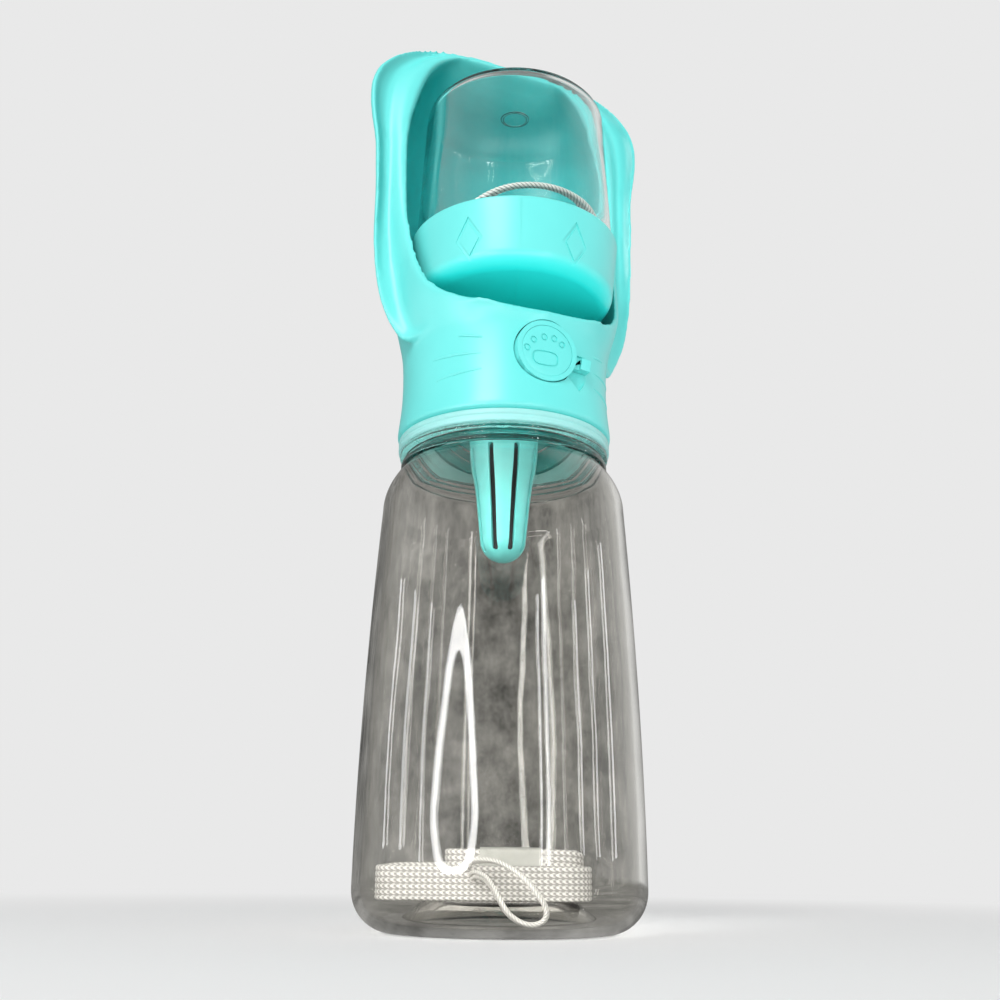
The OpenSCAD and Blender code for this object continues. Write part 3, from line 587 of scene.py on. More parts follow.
inner_rim = spline_route([(x * RIM_WIDER, y, LIP_Z + z * RIM_HIGHER) for (x, y, z), far in RIM], 8)
outer_rim = spline_route([(x * mix(RIM_WIDER, 1, min(1, x / 45)), y, LIP_Z + z * RIM_HIGHER)
                          for near, (x, y, z) in RIM], 8)


def all_round(line):
    return line + [Vector((-p.x, p.y, p.z)) for p in line[-2:0:-1]]


def flange_solid():
    """Sweeps the flange's section round the opening. Its inner edge reaches into the wall, so that both melt together."""
    near, far = all_round(inner_rim), all_round(outer_rim)
    front = [Vector((*p, 0)) for p in FLANGE_FRONT]
    back = [Vector((*p, 0)) for p in FLANGE_BACK]
    section = spline_route(front, 3) + spline_route(back, 2)
    rings, count = [], len(near)
    for i in range(count):
        wide = far[i] - near[i]
        along = near[(i + 1) % count] + far[(i + 1) % count] - near[i - 1] - far[i - 1]
        out = wide.cross(along).normalized()
        inwards = wide.normalized() * -FLANGE_INTO
        thick = min(1, max(FLANGE_THINNEST, wide.length / FULL_FLANGE))
        rings.append([near[i] + wide * p.x + (inwards if p.x < 0.05 else Vector()) + out * p.y * thick for p in section])
    return lofted("flange", rings, hoop=True)


print("rim points:", len(inner_rim))

# %% Head: joined and melted
VOXEL, SMOOTH_ROUNDS, FACES_KEPT = 0.55 * MM, 34, 0.45
def front_block():
    """Everything in front of the opening."""
    outline = [(-2 * BOWL_W, inner_rim[0].z - 0.15)] + [(p.y + 0.5, p.z - 0.15) for p in inner_rim]
    outline += [(outline[-1][0], BOWL_TOP + 30), (-2 * BOWL_W, BOWL_TOP + 30)]
    return prism("front_block", outline, lambda y, z, x: (x - 2 * BOWL_W, y, z), 4 * BOWL_W)


head = lofted("head_moulding", slices(outside))
combine(head, front_block())
combine(head, flange_solid(), "UNION")
combine(head, lofted("hollow", slices(hollow)))
apply_modifier(head, "REMESH", mode="VOXEL", voxel_size=VOXEL)
apply_modifier(head, "SMOOTH", factor=0.5, iterations=SMOOTH_ROUNDS)
apply_modifier(head, "DECIMATE", ratio=FACES_KEPT)
print("head faces:", len(head.data.polygons))

# %% [markdown]
# Three low whiskers stand on each cheek. Then the bore for the screw collar, the outlet in the
# bowl's floor, the button's hole and the pocket of the lock lever are cut.

# %% Head: whiskers and cuts
WHISKERS = [[(20.7, 34), (21.4, 41), (21.9, 48)], [(16.1, 34), (16.5, 50), (16.6, 65)], [(11.5, 34), (10.9, 48), (9.9, 62)]]
WHISKER_R = 0.5
BUTTON_Z = 148.0
RING_R, LOCK_GAP = 8.75, 0.3
LEVER_ANGLE, LOCK_SWING, LEVER_R, POCKET_FLOOR = -9.0, 20.0, 13.4, 26.4
COLLAR_R, DECK_TOP, OUTLET_Y, PORT_R = 28.3, NECK_TOP + 2.6, 6.0, 2.2


def skirt_radius(height):
    """The skirt's radius between the rows of its shape."""
    for (s0, w0), (s1, w1) in zip(SKIRT_SHAPE, SKIRT_SHAPE[1:]):
        if height / SKIRT_H <= s1:
            return SKIRT_R - SKIRT_WAIST * mix(w0, w1, (height / SKIRT_H - s0) / (s1 - s0))
    return SKIRT_R


def whisker(side, row):
    """A ridge along the cheek, which thins out at both ends."""
    points = spline_route([(angle * side, height, 0) for height, angle in row], 9)
    rings = []
    for i, point in enumerate(points):
        size = WHISKER_R * (0.3 + 0.7 * math.sin(math.pi * min(i, len(points) - 1 - i) / (len(points) - 1)) ** 0.5)
        angle = math.radians(point.x)
        far = skirt_radius(point.y) - 0.25
        middle = Vector((far * math.sin(angle), -far * math.cos(angle), SKIRT_Z + point.y))
        out = Vector((math.sin(angle), -math.cos(angle), 0))
        turns = [2 * math.pi * k / 12 for k in range(12)]
        rings.append([middle + (out * math.cos(a) + Vector((0, 0, math.sin(a)))) * size for a in turns])
    return lofted("whisker", rings)


def round_bar(name, radius, start, end, vertices=96):
    """A straight round bar between two points."""
    start, end = Vector(start) * MM, Vector(end) * MM
    bpy.ops.object.select_all(action="DESELECT")
    bpy.ops.mesh.primitive_cylinder_add(vertices=vertices, radius=radius * MM, depth=(end - start).length,
                                        location=(start + end) / 2, rotation=(end - start).to_track_quat("Z", "Y").to_euler())
    bar = bpy.context.active_object
    bar.name = name
    bpy.ops.object.transform_apply(location=True, rotation=True, scale=True)
    return bar


def on_button(x, y, depth):
    """A place on the button's axis: x to the right, y up, and depth towards the front."""
    return (x, -depth, BUTTON_Z + y)


def from_depth(start):
    """Places for a prism that starts at some depth on the button's axis."""
    return lambda x, y, depth: on_button(x, y, start + depth)


for side in (-1, 1):
    for row in WHISKERS:
        combine(head, whisker(side, row), "UNION")
combine(head, round_bar("bore", COLLAR_R + 0.06, (0, 0, SKIRT_Z - 1), (0, 0, DECK_TOP), 144))
combine(head, round_bar("inside", COLLAR_R - 1.4, (0, 0, SKIRT_Z - 1), (0, 0, BOWL_Z - FLOOR_T), 144))
combine(head, round_bar("outlet", PORT_R, (0, OUTLET_Y, BOWL_Z - FLOOR_T - 1), (0, OUTLET_Y, BOWL_Z + 2), 48))
combine(head, round_bar("button_hole", RING_R + LOCK_GAP, on_button(0, 0, 0), on_button(0, 0, 2 * SKIRT_R)))
pocket_start, pocket_end = LEVER_ANGLE + 16, LEVER_ANGLE - LOCK_SWING - 13
pocket = arc(0, 0, RING_R - 0.5, pocket_start, pocket_end, 12) + arc(0, 0, LEVER_R + 0.6, pocket_end, pocket_start, 16)
combine(head, prism("pocket", pocket, from_depth(POCKET_FLOOR), SKIRT_R))
smooth_shaded(head, 38)


def painted_bowl_shade_attribute(piece):
    """How deep in the bowl each point lies, from 0 to 1. It masks painted shade: the inner face of the bowl's back,
    which throws its own light back and forth, gets a darker teal that stands in for that shade."""
    values = []
    for point in piece.data.vertices:
        away = Vector((point.co.x, point.co.y, 0)).normalized()
        inward = min(1, max(0, -point.normal.dot(away) * 1.6))
        back = min(1, max(0, (point.co.y / MM + 16) / 20)) * (point.co.z > (LIP_Z - 4) * MM)
        values.append(inward * back)
    piece.data.attributes.new("depth", "FLOAT", "POINT").data.foreach_set("value", values)


# Painted shade: this mask gives the bowl's back a darker teal.
painted_bowl_shade_attribute(head)
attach(head, "head")
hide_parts("head_shell")
print("finished head faces:", len(head.data.polygons))

# %% [markdown]
# ## Lock ring and paw button
# A turning ring with a small lever locks the button. The paw print is drawn by thin engraved
# outlines: five toes and a pad. Each outline is a small frame that is cut into the face.

# %% Lock ring
RING_IN, RING_FRONT, RING_BACK = 7.4, SKIRT_R - 0.5, 24.0
LEVER_W, ARM_T, TIP_T, TIP_LONG = 3.4, 1.6, 2.6, 2.8


def turned(points, degrees):
    c, s = math.cos(math.radians(degrees)), math.sin(math.radians(degrees))
    return [(x * c - y * s, x * s + y * c) for x, y in points]


def bar_outline(start, end, wide):
    """The corners of a flat bar that lies along x."""
    return [(start, -wide / 2), (end, -wide / 2), (end, wide / 2), (start, wide / 2)]


def bevelled(piece, width, segments=3):
    """Rounds the sharp edges of a piece."""
    apply_modifier(piece, "BEVEL", width=width * MM, segments=segments, limit_method="ANGLE", angle_limit=math.radians(40))


lock = round_bar("lock_ring_lever", RING_R, on_button(0, 0, RING_BACK), on_button(0, 0, RING_FRONT))
for start, thick in ((RING_R - 1, ARM_T), (LEVER_R - TIP_LONG, TIP_T)):
    arm = turned(bar_outline(start, LEVER_R, LEVER_W), LEVER_ANGLE)
    combine(lock, prism("arm", arm, from_depth(POCKET_FLOOR + LOCK_GAP), thick), "UNION")
for side in (-1, 1):
    middle = side * (RING_R + 0.2)
    combine(lock, prism("lug", bar_outline(middle - 1.2, middle + 1.2, 4), from_depth(RING_BACK - 0.7), 1.2), "UNION")
combine(lock, round_bar("ring_bore", RING_IN, on_button(0, 0, 0), on_button(0, 0, 2 * SKIRT_R)))
bevelled(lock, 0.3)
smooth_shaded(lock, 40)
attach(lock, "lock")
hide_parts("lock_ring")
print("lock ring faces:", len(lock.data.polygons))

# %% Paw button
BUTTON_R, BUTTON_FRONT, BUTTON_T, GUIDE_R, GUIDE_BACK = RING_IN - 0.05, RING_FRONT - 0.1, 2.5, 5.2, 19.0
TOES = [(-5.9, -0.1, 20), (-4.0, 2.5, 12), (-0.9, 3.8, 0), (2.0, 3.8, -12), (4.3, 2.4, -22)]
TOE_W, TOE_H, PAD_W, PAD_H = 1.9, 2.1, 7.6, 4.5
PAD_AT = (-0.6, -2.4)
ENGRAVED_W, ENGRAVED_DEEP = 0.45, 0.35


def oval(centre, wide, high, turn=0.0, power=1.0, steps=40):
    """An oval. A power under 1 squares it."""
    def bent(value):
        return math.copysign(abs(value) ** power, value)
    angles = [2 * math.pi * k / steps for k in range(steps)]
    points = turned([(wide / 2 * bent(math.cos(a)), high / 2 * bent(math.sin(a))) for a in angles], turn)
    return [(x + centre[0], y + centre[1]) for x, y in points]


def engrave(piece, centre, wide, high, turn=0.0, power=1.0):
    """Cuts the outline of an oval into the button's face."""
    at_face = from_depth(BUTTON_FRONT - ENGRAVED_DEEP)
    frame_tool = prism("frame", oval(centre, wide, high, turn, power), at_face, 1)
    combine(frame_tool, prism("core", oval(centre, wide - 2 * ENGRAVED_W, high - 2 * ENGRAVED_W, turn, power),
                              lambda x, y, depth: at_face(x, y, depth - 1), 3))
    combine(piece, frame_tool)


button = round_bar("paw_button_face", BUTTON_R, on_button(0, 0, BUTTON_FRONT - BUTTON_T), on_button(0, 0, BUTTON_FRONT))
bevelled(button, 0.12)
combine(button, round_bar("guide", GUIDE_R, on_button(0, 0, GUIDE_BACK), on_button(0, 0, BUTTON_FRONT - BUTTON_T + 0.5)), "UNION")
for x, y, turn in TOES:
    engrave(button, (x, y), TOE_W, TOE_H, turn)
engrave(button, PAD_AT, PAD_W, PAD_H, power=0.65)
smooth_shaded(button, 30)
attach(button, "button")
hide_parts("paw_button")
print("button faces:", len(button.data.polygons))

# %% [markdown]
# ## Lid of the food cup
# The lid stands on its head in the bowl: a shallow dish with a soft edge, six engraved rhombi
# round its band, and the fine line that the two halves of the mould leave. It is spun, and
# then the rhombus frames are cut and the mould line is added as a flat plate that barely
# stands proud.

# %% Lid
LID_ROUND, LID_TAPER, LID_WALL, LID_GAP = 4.8, 1.6, 1.5, 0.3
MOUTH_R, MOUTH_Z = LID_R - 1.3 - LID_WALL - LID_GAP, LID_Z + 5.5
BAND_R, LID_H = LID_R - LID_TAPER, RIM_Z - LID_Z
FLOOR_EDGE = BAND_R - 6.5
RHOMBUS_N, RHOMBUS_W, RHOMBUS_H, RHOMBUS_TWIST = 6, 8.2, 13.4, -48.0
LINE_W, LINE_H, LINE_DEEP = 2.3, 3.9, 0.4
MOULD_LINE_AT, MOULD_LINE_W, MOULD_LINE_PROUD = -19.5, 0.28, 0.09

outline = [(0, LID_Z)] + arc(BAND_R - LID_ROUND, LID_Z + LID_ROUND, LID_ROUND, -90, 0, 12)
outline += rounded([outline[-1], (LID_R, RIM_Z, 0.9), (MOUTH_R + LID_GAP, RIM_Z, 0.4),
                    (MOUTH_R + LID_GAP, MOUTH_Z - LID_GAP, 2), (FLOOR_EDGE, LID_Z + LID_WALL, 1.5),
                    (0, LID_Z + LID_WALL)])[1:]
lid = spun("cup_lid_moulding", outline, CUP_Y, steps=160)
lid_mid = 0.42 * LID_H
lean = math.atan(LID_TAPER / (LID_H - LID_ROUND))


def rhombus(wide, high):
    return [(wide / 2, 0), (0, high / 2), (-wide / 2, 0), (0, -high / 2)]


def on_band(turn, x, y, depth):
    """A place on the lid's band: x along it, y up it, and depth outwards."""
    far = BAND_R + LID_TAPER * (lid_mid - LID_ROUND) / (LID_H - LID_ROUND)
    place = Matrix.Rotation(math.pi / 2 + lean, 3, "X") @ Vector((x, y, depth)) + Vector((0, -far, LID_Z + lid_mid))
    return Matrix.Rotation(math.radians(turn), 3, "Z") @ place + Vector((0, CUP_Y, 0))


for k in range(RHOMBUS_N):
    turn = RHOMBUS_TWIST + 360 * k / RHOMBUS_N
    line = prism("line", rhombus(RHOMBUS_W, RHOMBUS_H), lambda x, y, depth: on_band(turn, x, y, depth - LINE_DEEP), 2)
    core = rhombus(RHOMBUS_W - LINE_W, RHOMBUS_H - LINE_H)
    combine(line, prism("core", core, lambda x, y, depth: on_band(turn, x, y, depth - 2), 5))
    combine(lid, line)


def beside_line(radius, height, depth):
    """A place on the flat plate of the mould line."""
    angle = math.radians(MOULD_LINE_AT)
    aside = depth - MOULD_LINE_W / 2
    return (radius * math.sin(angle) + aside * math.cos(angle),
            CUP_Y - radius * math.cos(angle) + aside * math.sin(angle), height)


plate = [(1, LID_Z - MOULD_LINE_PROUD)]
plate += arc(BAND_R - LID_ROUND, LID_Z + LID_ROUND, LID_ROUND + MOULD_LINE_PROUD, -90, 0, 12)
plate += [(LID_R + MOULD_LINE_PROUD, RIM_Z - 0.9), (LID_R - 1, RIM_Z - 0.9), (BAND_R - 1, LID_Z + LID_ROUND),
          (BAND_R - LID_ROUND, LID_Z + 0.7), (1, LID_Z + 0.7)]
combine(lid, prism("mould_line", plate, beside_line, MOULD_LINE_W), "UNION")
smooth_shaded(lid, 30)
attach(lid, "lid")
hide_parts("food_cup_lid")
print("lid faces:", len(lid.data.polygons))

# %% [markdown]
# ## The clear food cup
# The cup stands upside down, with its mouth in the lid. Its closed end has the small round mark
# of the mould's gate. As with the bottle, both faces of the wall are in one spun outline.

# %% Food cup
CUP_END_R, CUP_ROUND, CUP_WALL, GATE_R = 26.8, 4.2, 1.5, 4.2
FOOT = LID_R - 1.5
waist = (mix(CUP_END_R, FOOT, 0.55), RIM_Z + 22, 9)
cup_outline = rounded([
    (0, CUP_TOP - 0.35), (GATE_R - 0.7, CUP_TOP - 0.35, 0.2), (GATE_R - 0.6, CUP_TOP - 0.9, 0.15),
    (GATE_R, CUP_TOP - 0.9, 0.15),
    (GATE_R + 0.1, CUP_TOP, 0.2), (CUP_END_R, CUP_TOP, CUP_ROUND), waist, (FOOT, RIM_Z + 2.5, 1), (FOOT, RIM_Z + LID_GAP, 0.4),
    (MOUTH_R, RIM_Z + LID_GAP, 0.3), (MOUTH_R, MOUTH_Z, 0.5), (MOUTH_R - CUP_WALL, MOUTH_Z, 0.5), (MOUTH_R - CUP_WALL, RIM_Z, 3),
    (waist[0] - CUP_WALL, waist[1], 9), (CUP_END_R - CUP_WALL, CUP_TOP - CUP_WALL, CUP_ROUND - CUP_WALL),
    (0, CUP_TOP - CUP_WALL)], steps=8)
cup = spun("clear_food_cup", cup_outline, CUP_Y, steps=144)
smooth_shaded(cup, 35)
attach(cup, "cup")
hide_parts("food_cup")
print("cup faces:", len(cup.data.polygons))

# %% [markdown]
# ## Filter basket
# A tapered tube with a round tip hangs from the screw collar, with eight long slots. The slots
# are cut from the spun tube, and all edges get a small bevel, because the light edges of
# the slots are what the eye sees.

# %% Filter basket
BASKET_R, BASKET_TIP, BASKET_WALL = 9.6, 6.4, 1.4
BASKET_LOW, BASKET_TOP = (corner.z for corner in mm_box("filter_basket"))
DECK_UNDER = BASKET_TOP + 0.3
SLOT_N, SLOT_W, SLOT_LOW, SLOT_TOP = 8, 1.6, BASKET_LOW + 2.4, BASKET_TOP - 7.6
CORE_Z = BASKET_LOW + 3

tube = arc(0, BASKET_LOW + BASKET_TIP, BASKET_TIP, -90, -4, 14)
tube += rounded([tube[-1], (BASKET_R - 1.6, BASKET_LOW + 22, 6), (BASKET_R, DECK_UNDER - 10, 4), (BASKET_R, BASKET_TOP, 0.4),
                 (BASKET_R - BASKET_WALL, BASKET_TOP, 0.3), (BASKET_R - BASKET_WALL, DECK_UNDER - 12, 3),
                 (BASKET_TIP - BASKET_WALL, BASKET_LOW + BASKET_TIP, 2), (BASKET_TIP - BASKET_WALL, CORE_Z), (0, CORE_Z)])[1:]
basket = spun("filter_basket_slotted", tube, steps=96)


def slot_cutter(turn):
    """A long slot with round ends, seen from outside."""
    half = SLOT_W / 2
    ends = arc(0, SLOT_TOP - half, half, 0, 180, 8) + arc(0, SLOT_LOW + half, half, 180, 360, 8)
    spin = Matrix.Rotation(math.radians(turn), 3, "Z")
    return prism("slot", ends, lambda x, z, depth: spin @ Vector((BASKET_TIP - BASKET_WALL - 1.4 + depth, x, z)), BASKET_R)


for k in range(SLOT_N):
    combine(basket, slot_cutter(360 * k / SLOT_N))
for side in (-1, 1):
    middle = side * (BASKET_R + 0.05)
    combine(basket, prism("lug", bar_outline(middle - 1.05, middle + 1.05, 5),
                          lambda x, y, depth: (x, y, BASKET_TOP - 2.8 + depth), 2.8), "UNION")
bevelled(basket, 0.22, 2)
smooth_shaded(basket, 40)
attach(basket, "filter")
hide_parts("filter_basket")
print("basket faces:", len(basket.data.polygons))

# %% [markdown]
# ## Tape round the strap
# A strip of clear tape holds the two inner runs of the strap together. It is a flat sleeve
# with round corners, and small waves run over it, where a real strip creases.

# %% Tape
TAPE_LONG, TAPE_X, TAPE_T, TAPE_GAP, TAPE_ROUND = 15.0, -5.0, 0.3, 0.12, 1.4
TAPE_BACK, TAPE_FRONT, TAPE_HIGH = 4.4, 5.35, 8.84
TAPE_Z = FLOOR_Z + STRAP_RISE - TAPE_GAP


def tape_ring(x, out):
    """The sleeve's section at x, moved outwards. Small waves crease it."""
    def crease(y, z):
        return 0.12 * math.sin(1.3 * x + 0.5 * z) + 0.07 * math.sin(3.1 * x - 0.9 * z + 0.4 * y)
    low, high = (-TAPE_FRONT - out, -out), (TAPE_BACK + out, TAPE_HIGH + out)
    corners = rounded([(y, z, TAPE_ROUND) for y, z in (low, (high[0], low[1]), high, (low[0], high[1]))])
    made = []
    for a, b in zip(corners, corners[1:] + corners[:1]):
        for y, z in ((mix(a[0], b[0], k / 4), mix(a[1], b[1], k / 4)) for k in range(4)):
            wave = (crease(y, z) if y < 0 else -crease(y, z)) * (0.2 < z < TAPE_HIGH - 0.2)
            made.append(STRAP_FRAME @ Vector((x, STRAP_Y + y + wave, TAPE_Z + z)))
    return made


along = [TAPE_X + TAPE_LONG * k / 30 for k in range(31)]
tape = lofted("strap_tape", [tape_ring(x, TAPE_T) for x in along] + [tape_ring(x, 0) for x in reversed(along)], hoop=True)
smooth_shaded(tape, 50)
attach(tape, "bottle")
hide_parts("strap_band")
print("tape faces:", len(tape.data.polygons))

# %% [markdown]
# ## Node helpers
# A material is a small graph. These helpers add a node, set its sockets and join it,
# so that each finish below reads as a short list of what it is made of.

# %% Node helpers
def add_node(tree, kind, links=None, **values):
    """Adds a node. Values go to sockets by name, or to the node's own settings."""
    made = tree.nodes.new("ShaderNode" + kind)
    for name, value in values.items():
        if hasattr(made, name):
            setattr(made, name, value)
        else:
            made.inputs[name.replace("_", " ")].default_value = value
    for name, source in (links or {}).items():
        tree.links.new(source, made.inputs[name])
    return made


def ramp(tree, source, low, high):
    """Turns a value into a colour between two, over a chosen part of its range."""
    made = add_node(tree, "ValToRGB", {"Fac": source})
    for element, (place, colour) in zip(made.color_ramp.elements, (low, high)):
        element.position, element.color = place, (*colour, 1)
    return made.outputs["Color"]


def object_place(tree):
    return add_node(tree, "TexCoord").outputs["Object"]


def noise(tree, scale, detail, roughness=0.5):
    """Noise on Object coordinates, so that it stays put on the piece."""
    return add_node(tree, "TexNoise", {"Vector": object_place(tree)}, Scale=scale, Detail=detail,
                    Roughness=roughness).outputs["Fac"]


def ranged(tree, value, start, end, to_start=0.0, to_end=1.0, kind="LINEAR"):
    """Turns one range of a value into another."""
    return add_node(tree, "MapRange", {"Value": value}, interpolation_type=kind, From_Min=start, From_Max=end,
                    To_Min=to_start, To_Max=to_end).outputs[0]


def blended(tree, share, first, second):
    """A mix of two colours, of which each can be another node's output."""
    made = add_node(tree, "Mix", {0: share}, data_type="RGBA")
    for socket, colour in ((made.inputs[6], first), (made.inputs[7], second)):
        if isinstance(colour, tuple):
            socket.default_value = (*colour, 1)
        else:
            tree.links.new(colour, socket)
    return made.outputs[2]


def bumped(tree, height, strength, distance):
    return add_node(tree, "Bump", {"Height": height}, Strength=strength, Distance=distance).outputs[0]


def srgb(*rgb):
    """A colour as a paint program gives it, turned into the linear one that shaders use."""
    return tuple(c / 12.92 if c <= 0.04045 else ((c + 0.055) / 1.055) ** 2.4 for c in (v / 255 for v in rgb))


def new_material(name):
    material = bpy.data.materials.new(name)
    material.use_nodes = True
    material.node_tree.nodes.clear()
    return material, material.node_tree


def finish_material(material, tree, shader):
    add_node(tree, "OutputMaterial", {"Surface": shader})
    return material


print("node helpers ready")

# %% [markdown]
# ## Studio
# The bottle stands on a pale floor in soft light from all round. A clear bottle looks empty
# under a plain sky. So a grey card stands round it, which only shows through clear walls and
# in reflections, and a ring and a few tall strips glow in front of it: they draw the long white
# lines on the wall. All of them are hidden from the camera.

# %% Sky and floor
PALE = srgb(233, 233, 233)
SKY_LIGHT = 0.5

world = bpy.data.worlds.new("studio")
bpy.context.scene.world = world
world.use_nodes = True
sky = world.node_tree
sky.nodes.clear()
path = add_node(sky, "LightPath")
seen = path.outputs["Is Camera Ray"]
for kind in ("Is Transmission Ray", "Is Glossy Ray"):
    seen = add_node(sky, "Math", {0: seen, 1: path.outputs[kind]}, operation="MAXIMUM").outputs[0]
lit = add_node(sky, "Background", Color=(1, 1, 1, 1), Strength=SKY_LIGHT)
shown = add_node(sky, "Background", Color=(*PALE, 1), Strength=1)
both = add_node(sky, "MixShader", {0: seen, 1: lit.outputs[0], 2: shown.outputs[0]})
add_node(sky, "OutputWorld", {"Surface": both.outputs[0]})

bpy.ops.object.select_all(action="DESELECT")
bpy.ops.mesh.primitive_circle_add(vertices=128, radius=4, fill_type="NGON")
floor = bpy.context.active_object
floor.name = "floor"
material, tree = new_material("floor")
away = add_node(tree, "VectorMath", {0: object_place(tree)}, operation="LENGTH")
far = ranged(tree, away.outputs["Value"], 0.06, 0.45, kind="SMOOTHSTEP")
ground = add_node(tree, "BsdfDiffuse", Color=(*srgb(250, 250, 250), 1))
glow = add_node(tree, "Emission", Color=(*PALE, 1), Strength=1)
blend = add_node(tree, "MixShader", {0: far, 1: ground.outputs[0], 2: glow.outputs[0]})
floor.data.materials.append(finish_material(material, tree, blend.outputs[0]))
print("floor and sky ready")

# %% Grey card
CARD_R, CARD_LOW, CARD_HIGH = 0.62, 0.0004, 1.6


def stage_only(piece, name, colours, strength, sides=None):
    """A glowing stage piece that shows only in reflections and through clear walls."""
    piece.visible_camera = piece.visible_diffuse = piece.visible_shadow = False
    material, tree = new_material(name)
    glow = add_node(tree, "Emission", Strength=strength)
    if len(colours) == 1:
        glow.inputs["Color"].default_value = (*colours[0], 1)
    else:
        mottled = ramp(tree, noise(tree, 22, 7, 0.75), (0.35, colours[0]), (0.65, colours[1]))
        if sides:
            parts = add_node(tree, "SeparateXYZ", {"Vector": object_place(tree)})
            across = add_node(tree, "Math", {0: parts.outputs["X"]}, operation="ABSOLUTE")
            mottled = blended(tree, ranged(tree, across.outputs[0], 0.34, 0.58, kind="SMOOTHSTEP"), mottled, sides)
        tree.links.new(mottled, glow.inputs["Color"])
    piece.data.materials.append(finish_material(material, tree, glow.outputs[0]))


wall = lofted("card_wall", [[(CARD_R / MM * math.cos(a), CARD_R / MM * math.sin(a), z / MM)
                             for a in (2 * math.pi * k / 64 for k in range(64))] for z in (CARD_LOW, CARD_HIGH)])
stage_only(wall, "card_wall", (srgb(84, 84, 82), srgb(172, 171, 168)), 1, sides=srgb(226, 226, 224))
card_floor = solid("card_floor", [(x, y, 0.3) for x, y in bar_outline(-600, 600, 1200)], [(0, 1, 2, 3)])
stage_only(card_floor, "card_floor", (srgb(34, 33, 32), srgb(96, 94, 91)), 1)
print("card ready")


# %% Lamps and glowing shapes
def soft_lamp(name, place, size, watts, aim=(0, 0, 0.16)):
    """A soft box that faces the bottle."""
    lamp = new_piece(name, bpy.data.lights.new(name, "AREA"))
    lamp.data.shape = "RECTANGLE"
    lamp.data.size, lamp.data.size_y = size
    lamp.data.energy = watts
    turn = (Vector(place) - Vector(aim)).to_track_quat("Z", "Y")
    lamp.matrix_world = Matrix.Translation(place) @ turn.to_matrix().to_4x4()


def toward(side, height, far=0.58):
    """A place at some degrees to the side of the button, seen from the bottle's axis."""
    side = math.radians(side)
    return Vector((far * math.sin(side), -far * math.cos(side), height))


def glowing(name, outline, strength):
    """A glowing patch on an upright cylinder round the bottle, from an outline of (degrees, metres up)."""
    patch = solid(name, [toward(side, height) / MM for side, height in outline], [tuple(range(len(outline)))])
    stage_only(patch, name, ((1, 1, 1),), strength)


soft_lamp("key_lamp", (-0.7, -0.8, 0.8), (0.5, 0.5), 7.5)
soft_lamp("fill_lamp", (0.8, -0.7, 0.35), (0.5, 0.7), 0.7)
soft_lamp("low_lamp", (-0.12, -0.62, 0.03), (0.5, 0.1), 1.3, aim=(0, 0, 0.18))
for name, side, low, high, wide, strength in (
        ("strip_a", 7, 0.015, 0.27, 1.2, 14), ("strip_b", 12.5, 0.015, 0.29, 2.2, 12), ("strip_c", 41, 0.03, 0.26, 1.6, 8),
        ("strip_d", 56, 0.03, 0.28, 1.4, 8), ("strip_e", 74, 0.03, 0.3, 2, 8), ("strip_f", -84, 0.02, 0.26, 1.6, 9),
        ("strip_g", -102, 0.03, 0.26, 2.5, 8), ("strip_h", -120, 0.03, 0.26, 2, 8)):
    left, right = side - wide / 2, side + wide / 2
    glowing(name, [(left, low), (right, low), (right, high), (left, high)], strength)
RING_SIDE, RING_UP, RING_HALF, RING_HIGH, RING_STEPS = -57, 0.075, 14, 0.062, 36


def on_ring(step, out):
    """The ring is round at its foot and drawn to a point at its top."""
    angle = 2 * math.pi * step / RING_STEPS
    high = math.sin(angle)
    drawn = (1 + 1.2 * max(0, high)) * RING_HIGH
    return (RING_SIDE + RING_HALF * (1 + 0.34 * out) * math.cos(angle) * (1 - 0.25 * max(0, high)),
            RING_UP + drawn * (1 + 0.3 * out * (1 if high < 0 else 1.2)) * high)


for k in range(RING_STEPS):
    glowing("ring_glow_%d" % k, [on_ring(k, 0), on_ring(k + 1, 0), on_ring(k + 1, 1), on_ring(k, 1)], 14)
print("lamps ready")

# %% [markdown]
# ## Finishes
# The head, the lid and the filter are one turquoise plastic. The bottle and the food cup are
# clear, with a smoky tint in the bottle. Each finish takes its small changes of colour and
# gloss from noise on Object coordinates, so it stays put on the piece. Some finishes also carry
# painted light: painted shade in the bowl, painted bounce light under the lid, a lighter teal for
# the filter, a darker teal for the inner parts, and a painted teal tint in the seal.

# %% Moulded plastic
def moulded(name, colour, shade, gloss=0.32, grain=0.00004, flow=40, painted_underside_bounce=None, inside=None):
    """Opaque moulded plastic: slight clouds in its colour, a fine grain, and soft gloss. The two optional colours are
    painted
    light: a darker colour as painted shade on the bowl's back, read from the depth attribute, and a brighter, more
    saturated colour as painted bounce light on the lowest faces.
    """
    material, tree = new_material(name)
    clouds = noise(tree, flow, 3)
    colours = ramp(tree, clouds, (0.3, shade), (0.7, colour))
    # Painted shade: a darker colour where the depth attribute marks the bowl's back.
    if inside:
        depth = add_node(tree, "Attribute", attribute_name="depth")
        colours = blended(tree, depth.outputs["Fac"], colours, inside)
    # Painted bounce light: the lowest faces get a brighter, more saturated colour, which fades out upwards.
    if painted_underside_bounce:
        up = add_node(tree, "SeparateXYZ", {"Vector": object_place(tree)})
        colours = blended(tree, ranged(tree, up.outputs["Z"], *painted_underside_bounce[1:], kind="SMOOTHSTEP"), painted_underside_bounce[0], colours)
    rough = ranged(tree, clouds, 0.3, 0.7, gloss + 0.04, gloss - 0.04)
    bump = bumped(tree, noise(tree, 2600, 2), 0.25, grain)
    body = add_node(tree, "BsdfPrincipled", {"Base Color": colours, "Roughness": rough, "Normal": bump}, IOR=1.5)
    return finish_material(material, tree, body.outputs[0])


